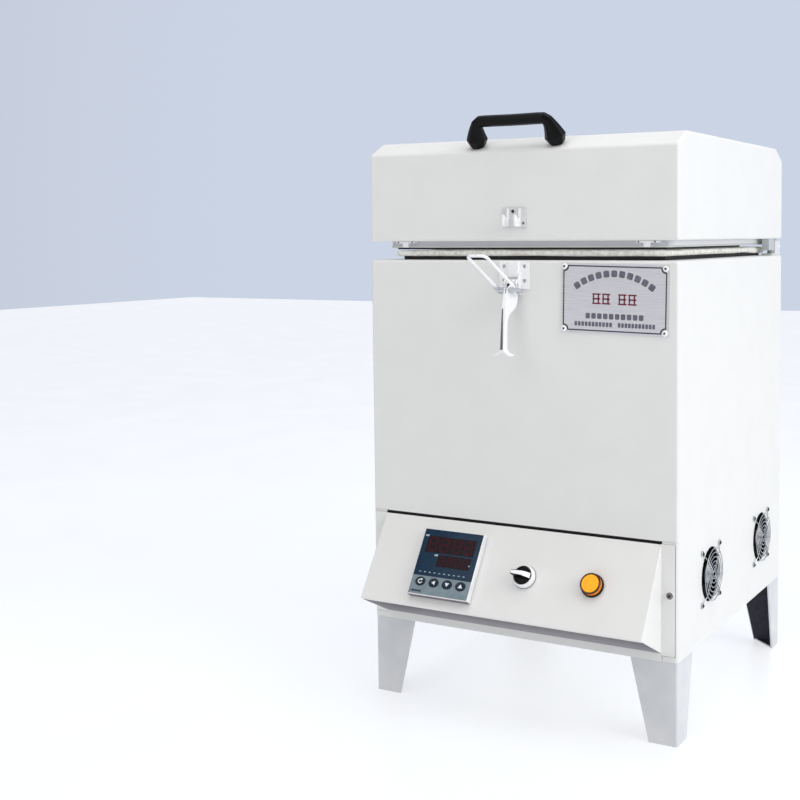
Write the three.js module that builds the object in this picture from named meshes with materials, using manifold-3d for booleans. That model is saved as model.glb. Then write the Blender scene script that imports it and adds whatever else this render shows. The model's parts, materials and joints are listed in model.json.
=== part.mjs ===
// A top-loading electric pottery kiln with silicon-carbide rods, on four sheet-steel legs.
// Millimetres, +Z up, +X to the right seen from the front, the front faces -Y.
// While it is built, x = 0 is the middle, y = 0 the face of the front panel and z = 0 the floor.
import * as THREE from "three";
import { mergeVertices } from "three/addons/utils/BufferGeometryUtils.js";
import Module from "manifold-3d";

const wasm = await Module();
wasm.setup();

// ---- Driving dimensions ----
const WIDTH = 470;
const DEPTH = 470;
const UNDERSIDE = 112; // bottom of the cabinet above the floor
const BODY_TOP = 633;
const LID_BOTTOM = 659;
const LID_SHOULDER = 782; // where the lid's front face meets its chamfer
const LID_TOP = 800;
const CHAMFER = 33; // how far the chamfer runs back
const SHEET = 2; // sheet steel
const GAP = 0.3; // between pieces that touch

const CHAMBER = { width: 220, depth: 220, floor: 394 };
const BRICK = 65; // brick wall thickness
const LINING_BOTTOM = 298.3;
const BRICK_TOP = 635.7;
const JACKET = 29; // fibre board outside the bricks
const SHELF_TOP = 298;

const PANEL_BOTTOM = 270; // lower edge of the front panel
const BOX = { half: 213, top: 267, nose: 158, back: 122, reach: 70, flange: 231 };

const ROD = { radius: 7, length: 454, x: 123, heights: [460, 560] };
const ROD_CLEARANCE = 2; // between a rod and the hole it passes through
const THERMOCOUPLE = { x: 0, z: 590, radius: 4, past: 15, end: 463 };

// The hinge eyes lie side by side from inner to outer; the plates run forward from them.
const HINGE = { y: 463, z: 646, eye: 6.5, pin: 3, hole: 3.4, inner: 215, width: 5, outer: 232 };
const BRACKET = { front: 425, sheet: 2.5, cheekX: 227, cheekFront: 442, cheekTop: 656 };
const LEAF = { front: 408, back: 437, bottom: 641, armBottom: 650 };

// The lid's inner frame stands in the mouth of the lid shell and holds the lining's plug.
const MOUTH = { x: 213, y: 22, frameBottom: 650, plugBottom: 648, plugMargin: 39 };

const LATCH = { pivotY: -9.5, pivotZ: 602, trunnionY: -21.5, trunnionZ: 594, pin: 2.5, pinHole: 2.9 };
const LATCH_BASE = { half: 23, bottom: 594, top: 632, earX: 8.4, ear: 1.4, earRadius: 6 };
const LEVER = { cheek: 8, shaft: 2.5, sheet: 1.6, foot: 507, flare: 13, neck: 558, shoulder: 580 };
const BAIL = { length: 97, half: 14, wire: 2, corner: 6, lean: 61.2, tail: 12, bar: 3.5, nut: 3.9 };
const KEEPER = { half: 18, bottom: 677, top: 704, earX: 7.5, ear: 3, reach: 18 };

const FAN = { size: 80, deep: 25, pitch: 71.5, z: 199, ys: [128, 363] };
const FAN_OPENING = 37; // radius
const SLOT = 4; // height of a ventilation slot

const GLAND = { x: -150, z: 160, thread: 11.5, hole: 12 };
const NAMEPLATE = { left: 70, right: 222, bottom: 535.5, top: 624.5, sheet: 1 };

const HALF = WIDTH / 2;
const CENTRE_Y = DEPTH / 2;
const INSIDE = HALF - SHEET; // inner face of a side panel

// ---- Looks ----
function finish(color, roughness, metalness = 0) {
  return new THREE.MeshStandardMaterial({ color, roughness, metalness });
}
const paint = finish(0xe6e6e4, 0.45);
const zinc = finish(0xd9dadc, 0.3, 0.9);
const chrome = finish(0xe3e5e8, 0.15, 1);
const blackPlastic = finish(0x17181a, 0.5);
const greyPlastic = finish(0xa9abad, 0.5);
const navyPlastic = finish(0x1b2f42, 0.25);
const amber = finish(0xf9a800, 0.2);
const aluminium = finish(0xb9b9c2, 0.35, 0.9);
const brick = finish(0xe9ddc8, 0.95);
const fibre = finish(0xf4f2ec, 1);
const carbide = finish(0x3a3b3d, 0.8);
const ceramic = finish(0xefe9dc, 0.6);
const galvanised = finish(0xb8bcc0, 0.4, 0.8);

// ---- Solids: closed geometries, joined and cut ----
function solidOf(geometry) {
  const bare = geometry.clone();
  bare.deleteAttribute("normal");
  bare.deleteAttribute("uv");
  const merged = mergeVertices(bare, 1e-4);
  const corners = merged.index.array;
  const kept = [];
  for (let i = 0; i < corners.length; i += 3) {
    const [a, b, c] = [corners[i], corners[i + 1], corners[i + 2]];
    if (a !== b && b !== c && a !== c) kept.push(a, b, c);
  }
  const vertProperties = merged.attributes.position.array;
  const triVerts = new Uint32Array(kept);
  return new wasm.Manifold(new wasm.Mesh({ numProp: 3, vertProperties, triVerts }));
}

function geometryOf(solid) {
  const mesh = solid.getMesh();
  const geometry = new THREE.BufferGeometry();
  geometry.setAttribute("position", new THREE.BufferAttribute(mesh.vertProperties, 3));
  geometry.setIndex(new THREE.BufferAttribute(mesh.triVerts, 1));
  return geometry;
}

function join(first, ...others) {
  return geometryOf(others.reduce((sum, next) => sum.add(solidOf(next)), solidOf(first)));
}

function cut(body, ...tools) {
  return geometryOf(tools.reduce((rest, tool) => rest.subtract(solidOf(tool)), solidOf(body)));
}

function overlap(first, second) {
  return geometryOf(solidOf(first).intersect(solidOf(second)));
}

// A box between its lowest and highest corners.
function block([x0, y0, z0], [x1, y1, z1]) {
  const box = new THREE.BoxGeometry(x1 - x0, y1 - y0, z1 - z0);
  return box.translate((x0 + x1) / 2, (y0 + y1) / 2, (z0 + z1) / 2);
}

function outline(points) {
  return new THREE.Shape(points.map(([u, v]) => new THREE.Vector2(u, v)));
}

function extruded(shape, depth, curveSegments = 6) {
  return new THREE.ExtrudeGeometry(shape, { depth, bevelEnabled: false, curveSegments });
}

const X = new THREE.Vector3(1, 0, 0);
const Y = new THREE.Vector3(0, 1, 0);
const Z = new THREE.Vector3(0, 0, 1);

// A side outline in (y, z), carried along x.
function alongX(shape, x0, x1) {
  const turn = new THREE.Matrix4().makeBasis(Y, Z, X).setPosition(x0, 0, 0);
  return extruded(shape, x1 - x0).applyMatrix4(turn);
}

// A front outline in (x, z), carried along y.
function alongY(shape, y0, y1) {
  const turn = new THREE.Matrix4().makeBasis(X, Z, Y.clone().negate()).setPosition(0, y1, 0);
  return extruded(shape, y1 - y0).applyMatrix4(turn);
}

// A round bar between two points.
function bar(start, end, radius, sides = 16) {
  const [a, b] = [new THREE.Vector3(...start), new THREE.Vector3(...end)];
  const way = b.clone().sub(a);
  const geometry = new THREE.CylinderGeometry(radius, radius, way.length(), sides);
  geometry.applyQuaternion(new THREE.Quaternion().setFromUnitVectors(Y, way.normalize()));
  const middle = a.add(b).multiplyScalar(0.5);
  return geometry.translate(middle.x, middle.y, middle.z);
}

// A profile of [radius, height] points, from axis to axis, turned about +Z.
function turned(profile, sides = 24) {
  const points = profile.map(([r, h]) => new THREE.Vector2(r, h));
  return new THREE.LatheGeometry(points, sides).rotateX(Math.PI / 2);
}

// A flat rectangular ring.
function ring([x, y, z0, z1], [openX, openY0, openY1]) {
  return cut(
    block([-x, y, z0], [x, DEPTH - y, z1]),
    block([-openX, openY0, z0 - 1], [openX, openY1, z1 + 1]),
  );
}

// ---- The assembly ----
const kiln = new THREE.Group();

function place(parent, name, geometry, material) {
  const mesh = new THREE.Mesh(geometryOf(solidOf(geometry)), material);
  mesh.name = name;
  parent.add(mesh);
}

// Each leg is folded from one sheet: two tapered flanges, a top tab and a three-cornered foot pad.
function legGeometry() {
  const inset = 1;
  const sheet = 2.5;
  const top = UNDERSIDE - GAP;
  const corner = HALF - inset;
  const frontFlange = outline([[corner, 0], [HALF - 41, 0], [HALF - 67, top], [corner, top]]);
  const sideFlange = outline([[inset, 0], [35, 0], [58, top], [inset, top]]);
  const pad = outline([[HALF - 41, inset], [corner, inset], [corner, 35]]);
  return join(
    alongY(frontFlange, inset, inset + sheet),
    alongX(sideFlange, corner - sheet, corner),
    block([HALF - 64, inset, top - sheet], [corner, 55, top]),
    extruded(pad, sheet),
  );
}

function addLegs() {
  for (const [end, flipY] of [["front", 1], ["rear", -1]]) {
    for (const [side, flipX] of [["left", -1], ["right", 1]]) {
      const corner = new THREE.Group();
      corner.scale.set(flipX, flipY, 1);
      corner.position.y = flipY < 0 ? DEPTH : 0;
      place(corner, `leg_${end}_${side}`, legGeometry(), paint);
      kiln.add(corner);
    }
  }
}

// A side panel has a flange round the front corner, below the front panel.
function sidePanel(side, openings) {
  const inner = side * INSIDE;
  const outer = side * HALF;
  const edge = side * BOX.half;
  const [low, high] = [Math.min(inner, outer), Math.max(inner, outer)];
  const panel = join(
    block([low, SHEET + GAP, UNDERSIDE], [high, DEPTH, BODY_TOP]),
    block(
      [Math.min(edge, outer), 0, UNDERSIDE],
      [Math.max(edge, outer), SHEET + GAP + 0.5, PANEL_BOTTOM],
    ),
  );
  return cut(panel, ...openings);
}

function fanOpenings() {
  return FAN.ys.map((y) => bar([INSIDE - 5, y, FAN.z], [HALF + 5, y, FAN.z], FAN_OPENING, 28));
}

function intakeSlots() {
  const slots = [];
  const half = 33;
  const pitch = 11;
  for (const y of FAN.ys) {
    for (let i = -3; i <= 3; i++) {
      const low = FAN.z + i * pitch - SLOT / 2;
      slots.push(block([-HALF - 5, y - half, low], [-INSIDE + 5, y + half, low + SLOT]));
    }
  }
  return slots;
}

function rearCover() {
  const vent = { left: 40, right: 170, bottom: 170, pitch: 14, count: 6 };
  const slots = [];
  for (let i = 0; i < vent.count; i++) {
    const z = vent.bottom + i * vent.pitch;
    slots.push(block([vent.left, DEPTH - 5, z], [vent.right, DEPTH + 5, z + SLOT]));
  }
  const glandHole = bar([GLAND.x, DEPTH - 5, GLAND.z], [GLAND.x, DEPTH + 5, GLAND.z], GLAND.hole);
  const sheet = block(
    [-INSIDE + GAP, DEPTH - SHEET, UNDERSIDE + SHEET + GAP],
    [INSIDE - GAP, DEPTH, BODY_TOP - SHEET - GAP],
  );
  return cut(sheet, glandHole, ...slots);
}

function addCabinet() {
  const inner = INSIDE - GAP;
  const back = DEPTH - SHEET - GAP;
  const front = SHEET + 2 * GAP + 0.5;
  place(kiln, "base_plate", block([-inner, front, UNDERSIDE], [inner, DEPTH, UNDERSIDE + SHEET]), paint);
  place(kiln, "side_panel_left", sidePanel(-1, intakeSlots()), paint);
  place(kiln, "side_panel_right", sidePanel(1, fanOpenings()), paint);
  place(kiln, "front_panel", block([-HALF, 0, PANEL_BOTTOM + GAP], [HALF, SHEET, BODY_TOP]), paint);
  place(kiln, "rear_cover", rearCover(), paint);
  const shelf = block([-inner, front, SHELF_TOP - SHEET], [inner, back, SHELF_TOP]);
  place(kiln, "divider_shelf", shelf, galvanised);
  const reach = CHAMBER.width / 2 + BRICK + GAP;
  const openY = [CENTRE_Y - reach, CENTRE_Y + reach];
  const rim = cut(
    block([-inner, SHEET + GAP, BODY_TOP - SHEET], [inner, DEPTH, BODY_TOP]),
    block([-reach, openY[0], BODY_TOP - 5], [reach, openY[1], BODY_TOP + 5]),
  );
  place(kiln, "top_rim", rim, paint);
}

// The bricks stand round the chamber; the rods lie in grooves in its left and right walls.
function addChamber() {
  const { width, depth, floor } = CHAMBER;
  const outX = width / 2 + BRICK;
  const [near, far] = [CENTRE_Y - depth / 2, CENTRE_Y + depth / 2];
  const grooveHalf = 12;
  const holes = [];
  const grooves = [];
  for (const x of [-ROD.x, ROD.x]) {
    for (const z of ROD.heights) {
      holes.push(bar([x, -5, z], [x, DEPTH + 5, z], ROD.radius + ROD_CLEARANCE, 12));
      const edge = Math.sign(x) * (width / 2 - 5);
      const deep = Math.sign(x) * (ROD.x + ROD.radius + 5);
      const [low, high] = [Math.min(edge, deep), Math.max(edge, deep)];
      grooves.push(block([low, 0, z - grooveHalf], [high, DEPTH, z + grooveHalf]));
    }
  }
  const probe = [THERMOCOUPLE.x, THERMOCOUPLE.z];
  const probeHole = bar(
    [probe[0], far - 5, probe[1]],
    [probe[0], DEPTH, probe[1]],
    THERMOCOUPLE.radius + 1.5,
    12,
  );
  const slab = block(
    [-outX, near - BRICK, floor - BRICK + GAP],
    [outX, far + BRICK, floor - GAP],
  );
  place(kiln, "brick_floor", slab, brick);
  const frontWall = block([-outX, near - BRICK, floor], [outX, near, BRICK_TOP]);
  place(kiln, "brick_front", cut(frontWall, ...holes), brick);
  const backWall = block([-outX, far, floor], [outX, far + BRICK, BRICK_TOP]);
  place(kiln, "brick_back", cut(backWall, probeHole, ...holes), brick);
  for (const [side, sign] of [["left", -1], ["right", 1]]) {
    const xs = [sign * width / 2, sign * outX].sort((a, b) => a - b);
    const wall = block([xs[0], near + GAP, floor], [xs[1], far - GAP, BRICK_TOP]);
    place(kiln, `brick_${side}`, cut(wall, ...grooves), brick);
  }
  const jacketX = outX + JACKET;
  const jacket = cut(
    block(
      [-jacketX, near - BRICK - JACKET, LINING_BOTTOM],
      [jacketX, far + BRICK + JACKET, BODY_TOP - SHEET - GAP],
    ),
    block(
      [-outX - GAP, near - BRICK - GAP, floor - BRICK],
      [outX + GAP, far + BRICK + GAP, BODY_TOP + 5],
    ),
    probeHole,
    ...holes,
  );
  place(kiln, "fibre_jacket", jacket, fibre);
  const seal = { x: 212, y: 16, top: 647, back: 2 };
  const opening = [width / 2 + seal.back, near - seal.back, far + seal.back];
  place(kiln, "fibre_seal", ring([seal.x, seal.y, BRICK_TOP + GAP, seal.top], opening), fibre);
}

function addHeating() {
  const start = CENTRE_Y - ROD.length / 2;
  let number = 1;
  for (const x of [-ROD.x, ROD.x]) {
    for (const z of ROD.heights) {
      const rod = bar([x, start, z], [x, start + ROD.length, z], ROD.radius, 14);
      place(kiln, `heating_rod_${number}`, rod, carbide);
      number += 1;
    }
  }
  const { x, z, radius, past, end } = THERMOCOUPLE;
  const tip = CENTRE_Y + CHAMBER.depth / 2 - past;
  const head = { half: 14, halfHeight: 11, deep: 20 };
  const probe = join(
    bar([x, tip, z], [x, end - head.deep + 2, z], radius, 12),
    block([x - head.half, end - head.deep, z - head.halfHeight], [x + head.half, end, z + head.halfHeight]),
  );
  place(kiln, "thermocouple", probe, ceramic);
}

// The hinges sit in the gap under the lid's rear corners.
function hingeEye(x0, x1, foot) {
  const disc = bar([x0, HINGE.y, HINGE.z], [x1, HINGE.y, HINGE.z], HINGE.eye, 20);
  const hole = bar([x0 - 1, HINGE.y, HINGE.z], [HINGE.outer + 1, HINGE.y, HINGE.z], HINGE.hole, 20);
  return cut(join(disc, ...foot), hole);
}

// A bracket on the cabinet: a base plate, an inner eye and a tall outer cheek.
function hingeBracket() {
  const { inner, width, outer, y, z, eye } = HINGE;
  const { front, sheet, cheekX, cheekFront, cheekTop } = BRACKET;
  const floor = BODY_TOP + GAP;
  return hingeEye(inner, inner + width, [
    block([inner, front, floor], [outer, y + eye, floor + sheet]),
    block([inner, y - eye, floor], [inner + width, y + eye, z]),
    block([cheekX, cheekFront, floor], [outer, y + eye - 0.5, cheekTop]),
  ]);
}

// A leaf on the lid: a block under its edge and an arm with an eye, between the bracket's eye and cheek.
function hingeLeaf() {
  const { inner, width, outer, y, z, eye } = HINGE;
  const x = inner + width + 1;
  const top = LID_BOTTOM - GAP;
  return hingeEye(x, x + width, [
    block([x, LEAF.front, LEAF.bottom], [outer, LEAF.back, top]),
    block([x, LEAF.back - 1, LEAF.armBottom], [x + width, y - eye + 3, top]),
    block([x, y - eye, z], [x + width, y + eye - 1, top]),
  ]);
}

function addHinges(lid) {
  const { inner, outer, y, z, pin } = HINGE;
  for (const [side, sign] of [["left", -1], ["right", 1]]) {
    const fixed = new THREE.Group();
    const moving = new THREE.Group();
    fixed.scale.x = sign;
    moving.scale.x = sign;
    place(fixed, `hinge_bracket_${side}`, hingeBracket(), zinc);
    place(fixed, `hinge_pin_${side}`, bar([inner - 1.5, y, z], [outer + 1, y, z], pin, 16), chrome);
    place(moving, `hinge_leaf_${side}`, hingeLeaf(), zinc);
    kiln.add(fixed);
    lid.add(moving);
  }
}

function lidSection(wall, bottom) {
  const rise = LID_TOP - LID_SHOULDER;
  const slope = Math.hypot(CHAMFER, rise);
  const shoulder = LID_SHOULDER - (wall * (slope - CHAMFER)) / CHAMFER + (wall * rise) / CHAMFER - wall;
  const crown = CHAMFER + (wall * (slope - rise)) / rise - wall * 0.5;
  const left = [[wall, bottom], [wall, shoulder], [crown, LID_TOP - wall]];
  const right = left.map(([y, z]) => [DEPTH - y, z]).reverse();
  return outline([...right, ...left].reverse());
}

function addLid(lid) {
  const play = 0.5;
  const { x: lipX, y: lipY, frameBottom, plugBottom, plugMargin } = MOUTH;
  const plugX = CHAMBER.width / 2 + plugMargin;
  const plugY = [CENTRE_Y - plugX, CENTRE_Y + plugX];
  const shell = cut(
    alongX(lidSection(0, LID_BOTTOM), -HALF, HALF),
    alongX(lidSection(SHEET, LID_BOTTOM + SHEET), -HALF + SHEET, HALF - SHEET),
    block([-lipX, lipY, LID_BOTTOM - 5], [lipX, DEPTH - lipY, LID_BOTTOM + 5]),
  );
  place(lid, "lid_shell", shell, paint);
  const liningX = HALF - SHEET - play;
  const lining = join(
    alongX(lidSection(SHEET + play, LID_BOTTOM + SHEET + GAP), -liningX, liningX),
    block([-plugX, plugY[0], plugBottom], [plugX, plugY[1], LID_BOTTOM + SHEET + 5]),
  );
  place(lid, "lid_lining", lining, fibre);
  const frameX = lipX - play;
  const frameY = lipY + play;
  const frame = cut(
    block([-frameX, frameY, frameBottom], [frameX, DEPTH - frameY, LID_BOTTOM + SHEET]),
    block(
      [-plugX - play, plugY[0] - play, frameBottom - 5],
      [plugX + play, plugY[1] + play, LID_BOTTOM + 10],
    ),
  );
  place(lid, "lid_inner_frame", frame, galvanised);
}

// The handle is a bridge that stands square on the front chamfer.
function addHandle(lid) {
  const half = [[69, 0], [67, 12], [59, 34], [52, 42]];
  const under = [[43, 30], [46, 27], [50, 10], [52, 0]];
  const mirrored = (points) => points.map(([x, z]) => [-x, z]).reverse();
  const bridge = outline([...half, ...mirrored(half), ...mirrored(under), ...under]);
  const seat = new THREE.Group();
  const alongChamfer = 0.36;
  const rise = LID_TOP - LID_SHOULDER;
  seat.rotation.x = Math.atan2(rise, CHAMFER);
  seat.position.set(0, CHAMFER * alongChamfer, LID_SHOULDER + rise * alongChamfer + GAP + 0.1);
  place(seat, "lid_handle", alongY(bridge, -6.5, 6.5), blackPlastic);
  lid.add(seat);
}

// The keeper's two ears are hooks that open upwards for the latch's wire.
function keeperGeometry() {
  const { half, bottom, top, earX, ear, reach } = KEEPER;
  const back = -GAP;
  const floor = bottom + 12; // of the notch
  const low = bottom + 1.5;
  const hook = outline([
    [back, low], [-reach + 2, low], [-reach, low + 2], [-reach, floor + 5.5], [-reach + 2.5, floor + 5.5],
    [-8.8, floor], [-4.4, floor], [-3.5, top - 1], [back, top - 1],
  ]);
  const plate = block([-half, back - SHEET, bottom], [half, back, top]);
  return join(plate, alongX(hook, -earX - ear, -earX), alongX(hook, earX, earX + ear));
}

// The latch's base has two ears with a pin; the lever hangs from the pin.
function latchBaseGeometry() {
  const { pivotY, pivotZ, pinHole } = LATCH;
  const { half, bottom, top, earX, ear, earRadius } = LATCH_BASE;
  const parts = [];
  for (const x of [-earX - ear, earX]) {
    parts.push(bar([x, pivotY, pivotZ], [x + ear, pivotY, pivotZ], earRadius, 18));
    parts.push(block([x, pivotY, pivotZ - earRadius], [x + ear, -GAP - 1, pivotZ + 3 * earRadius]));
  }
  const hole = bar([-half, pivotY, pivotZ], [half, pivotY, pivotZ], pinHole, 16);
  return cut(join(block([-half, -GAP - SHEET, bottom], [half, -GAP, top]), ...parts), hole);
}

// The lever is one folded sheet. Its two leaves stand close together in the handle, spread into cheeks
// round the pivot and flare apart at the foot; a fold along the front joins them.
function leverSide() {
  const { foot, neck, shoulder } = LEVER;
  const side = new THREE.Shape();
  side.moveTo(-40, foot - 1);
  side.lineTo(-35, neck);
  side.lineTo(-26.8, shoulder);
  side.lineTo(-26.8, 596);
  side.quadraticCurveTo(-26, 601, -19, 602);
  side.lineTo(-11, 608);
  side.quadraticCurveTo(-3.5, 608, -3.5, 601);
  side.quadraticCurveTo(-4, 594, -7.5, 589);
  side.lineTo(-7.5, 576);
  side.quadraticCurveTo(-8, 566, -18, 563.5);
  side.quadraticCurveTo(-27, 561, -27.5, 553);
  side.lineTo(-28, foot - 1);
  return side;
}

function leverGeometry() {
  const { pivotY, pivotZ, trunnionY, trunnionZ, pinHole } = LATCH;
  const { cheek, shaft, sheet, foot, flare, neck, shoulder } = LEVER;
  const top = 612;
  const bend = 7; // height over which the foot flares
  const leaf = [
    [shaft - sheet, foot + bend], [flare, foot], [flare, foot + sheet], [shaft, foot + bend + 2],
    [shaft, neck], [cheek, shoulder], [cheek, top], [cheek - sheet, top], [cheek - sheet, shoulder + 1],
    [shaft - sheet, neck + 1],
  ];
  const mirrored = leaf.map(([x, z]) => [-x, z]).reverse();
  const leaves = [leaf, mirrored].map((points) => {
    return overlap(alongY(outline(points), -45, 5), alongX(leverSide(), -20, 20));
  });
  const foldTop = shoulder + 5;
  const foldFace = outline([
    [-shaft, foot + bend], [shaft, foot + bend], [shaft, neck], [cheek, shoulder], [cheek, foldTop],
    [-cheek, foldTop], [-cheek, shoulder], [-shaft, neck],
  ]);
  const foldSide = outline([
    [-39.2, foot + bend], [-35, neck], [-26.8, shoulder], [-26.8, foldTop], [-26.8 + sheet, foldTop],
    [-26.8 + sheet, shoulder], [-35 + sheet, neck], [-39.2 + sheet, foot + bend],
  ]);
  const fold = overlap(alongY(foldFace, -45, 5), alongX(foldSide, -20, 20));
  return cut(
    join(fold, ...leaves),
    bar([-20, pivotY, pivotZ], [20, pivotY, pivotZ], pinHole, 16),
    bar([-20, trunnionY, trunnionZ], [20, trunnionY, trunnionZ], BAIL.nut, 16),
  );
}

// The bail is a bent wire whose threaded ends pass through a cross bar, with a nut on each side.
function bailGeometry() {
  const { length, half, wire, corner, tail, bar: barRadius, nut } = BAIL;
  const nutSpan = [3, 7.5]; // a nut's ends, from the middle of the cross bar
  const path = new THREE.CurvePath();
  const point = (x, z) => new THREE.Vector3(x, 0, z);
  const bend = (a, b, c) => new THREE.QuadraticBezierCurve3(a, b, c);
  const [low, high, side] = [-tail, length, half];
  path.add(new THREE.LineCurve3(point(-side, low), point(-side, high - corner)));
  path.add(bend(point(-side, high - corner), point(-side, high), point(-side + corner, high)));
  path.add(new THREE.LineCurve3(point(-side + corner, high), point(side - corner, high)));
  path.add(bend(point(side - corner, high), point(side, high), point(side, high - corner)));
  path.add(new THREE.LineCurve3(point(side, high - corner), point(side, low)));
  const round = new THREE.Shape().absarc(0, 0, wire, 0, 2 * Math.PI);
  const loop = new THREE.ExtrudeGeometry(round, {
    steps: 40,
    curveSegments: 4,
    extrudePath: path,
    bevelEnabled: false,
  });
  const parts = [bar([-half - 3, 0, 0], [half + 3, 0, 0], barRadius, 16)];
  for (const x of [-half, half]) {
    parts.push(bar([x, 0, nutSpan[0]], [x, 0, nutSpan[1]], nut, 6));
    parts.push(bar([x, 0, -nutSpan[0]], [x, 0, -nutSpan[1]], nut, 6));
  }
  return join(loop, ...parts);
}

function addLatch(lid) {
  const { pivotY, pivotZ, trunnionY, trunnionZ, pin } = LATCH;
  const pinHalf = 11.5;
  place(kiln, "latch_base", latchBaseGeometry(), zinc);
  const rivet = bar([-pinHalf, pivotY, pivotZ], [pinHalf, pivotY, pivotZ], pin, 14);
  place(kiln, "latch_pin", rivet, zinc);
  place(kiln, "latch_lever", leverGeometry(), zinc);
  const swing = new THREE.Group();
  swing.position.set(0, trunnionY, trunnionZ);
  swing.rotation.x = THREE.MathUtils.degToRad(BAIL.lean);
  place(swing, "latch_bail", bailGeometry(), zinc);
  kiln.add(swing);
  place(lid, "latch_keeper", keeperGeometry(), zinc);
}

// The control box is a wedge of sheet steel, open at the back, with flanges to the cabinet.
function controlBoxGeometry() {
  const { half, top, nose, back, reach, flange } = BOX;
  const front = -GAP;
  const wedge = outline([[front, top], [-reach, nose], [front, back]]);
  const hollow = outline([[front + 5, top + 1], [-reach + 4.2, nose + 1], [front + 5, back - 0.5]]);
  const flangeBottom = back - 2;
  const plates = [
    block([half - 1, front - SHEET, flangeBottom], [flange, front, top]),
    block([-flange, front - SHEET, flangeBottom], [-half + 1, front, top]),
    block([-half, front - SHEET, UNDERSIDE], [half, front, back + 1]),
  ];
  const shell = cut(alongX(wedge, -half, half), alongX(hollow, -half + SHEET, half - SHEET));
  return join(shell, ...plates);
}

// Pieces on the sloping face: y runs up the slope from its top edge, z stands out of it.
const slope = new THREE.Group();
slope.position.set(0, -GAP, BOX.top);
slope.rotation.x = Math.atan2(BOX.top - BOX.nose, BOX.reach);
slope.updateMatrixWorld(true);

const CONTROLLER = { x: -87, y: -67, size: 96, proud: 10, deep: 55 };
const SELECTOR = { x: 32, y: -68 };
const LAMP = { x: 131, y: -67 };
const SWITCH_HOLE = 11.3; // radius, for the selector and the lamp
const KEYS = ["set", "left", "down", "up"];
const KEY = { halfX: 7.8, halfY: 6.2, pitch: 21.3, y: -28.8, shift: 0 }; // oval keys

function onFace(geometry) {
  return geometry.clone().applyMatrix4(slope.matrixWorld);
}

function addControlBox() {
  const { x, y, size } = CONTROLLER;
  const cutout = size / 2 - 2;
  const openings = [
    block([x - cutout, y - cutout, -8], [x + cutout, y + cutout, 8]),
    bar([SELECTOR.x, SELECTOR.y, -8], [SELECTOR.x, SELECTOR.y, 8], SWITCH_HOLE, 20),
    bar([LAMP.x, LAMP.y, -8], [LAMP.x, LAMP.y, 8], SWITCH_HOLE, 20),
  ];
  place(kiln, "control_box", cut(controlBoxGeometry(), ...openings.map(onFace)), paint);
  kiln.add(slope);
}

function addController() {
  const { x, y, size, proud, deep } = CONTROLLER;
  const half = size / 2;
  const body = half - 2.5;
  const recess = 2;
  const window = half - 2.5;
  const well = 4;
  const keyAt = (i) => x + KEY.shift + (i - 1.5) * KEY.pitch;
  const keyY = y + KEY.y;
  const oval = (play, low, high, i) => {
    const { halfX, halfY } = KEY;
    const pill = bar([0, 0, low], [0, 0, high], 1, 20).scale(halfX + play, halfY + play, 1);
    return pill.translate(keyAt(i), keyY, 0);
  };
  const wells = KEYS.map((_, i) => oval(0.6, proud - well, proud + 1, i));
  const housing = cut(
    join(
      block([x - half, y - half, GAP], [x + half, y + half, proud]),
      block([x - body, y - body, -deep], [x + body, y + body, GAP + 1]),
    ),
    block([x - window, y - window, proud - recess], [x + window, y + window, proud + 1]),
    ...wells,
  );
  place(slope, "controller_housing", housing, greyPlastic);
  const faceBottom = proud - recess + 0.2;
  const faceEdge = window - 0.4;
  const face = cut(
    block([x - faceEdge, y - faceEdge, faceBottom], [x + faceEdge, y + faceEdge, proud - 0.4]),
    ...wells,
  );
  place(slope, "controller_face", face, navyPlastic);
  KEYS.forEach((name, i) => {
    place(slope, `key_${name}`, oval(0, proud - well + 1, proud + 0.6, i), blackPlastic);
  });
}

// The knob is a round disc with a grip that points left and slopes down to the disc at its other end.
function addSelector() {
  const { x, y } = SELECTOR;
  const bezel = turned([
    [0, -32], [10.8, -32], [10.8, GAP], [15.6, GAP], [15.6, 4], [14.2, 9.5], [12.6, 9.5], [12.6, 3], [0, 3],
  ]);
  place(slope, "selector_bezel", bezel.translate(x, y, 0), chrome);
  const disc = turned([[0, 3.4], [12.1, 3.4], [12.1, 10.6], [11.2, 11.4], [0, 11.4]]);
  const side = outline([[-13.6, 10.4], [11.2, 10.4], [11.2, 12], [4, 20.2], [-12.6, 20.2], [-13.6, 19.2]]);
  const grip = alongY(side, -3.6, 3.6);
  place(slope, "selector_knob", join(disc, grip).translate(x, y, 0), blackPlastic);
}

function addLamp() {
  const { x, y } = LAMP;
  const base = turned([
    [0, -36], [10.8, -36], [10.8, GAP], [15.5, GAP], [15.5, 3], [15, 3.8], [14.4, 3.8], [14.4, 2], [0, 2],
  ]);
  place(slope, "lamp_base", base.translate(x, y, 0), blackPlastic);
  const lens = turned([[0, 2.3], [14, 2.3], [14, 9.6], [13, 10.8], [0, 11.4]]);
  place(slope, "lamp_lens", lens.translate(x, y, 0), amber);
}

// A fan behind its opening: frame with a motor spider, bladed rotor, and a wire guard outside.
function fanFrameGeometry() {
  const half = FAN.size / 2;
  const back = -FAN.deep;
  const duct = FAN_OPENING + 0.5;
  const armHalf = 2.5;
  const motor = 17;
  const bore = bar([back + 3, 0, 0], [1, 0, 0], duct, 28);
  const vent = cut(
    bar([back - 1, 0, 0], [back + 4, 0, 0], duct, 28),
    bar([back - 2, 0, 0], [back + 5, 0, 0], motor, 20),
    block([back - 2, -half, -armHalf], [back + 5, half, armHalf]),
    block([back - 2, -armHalf, -half], [back + 5, armHalf, half]),
  );
  return cut(block([back, -half, -half], [0, half, half]), bore, vent);
}

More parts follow.
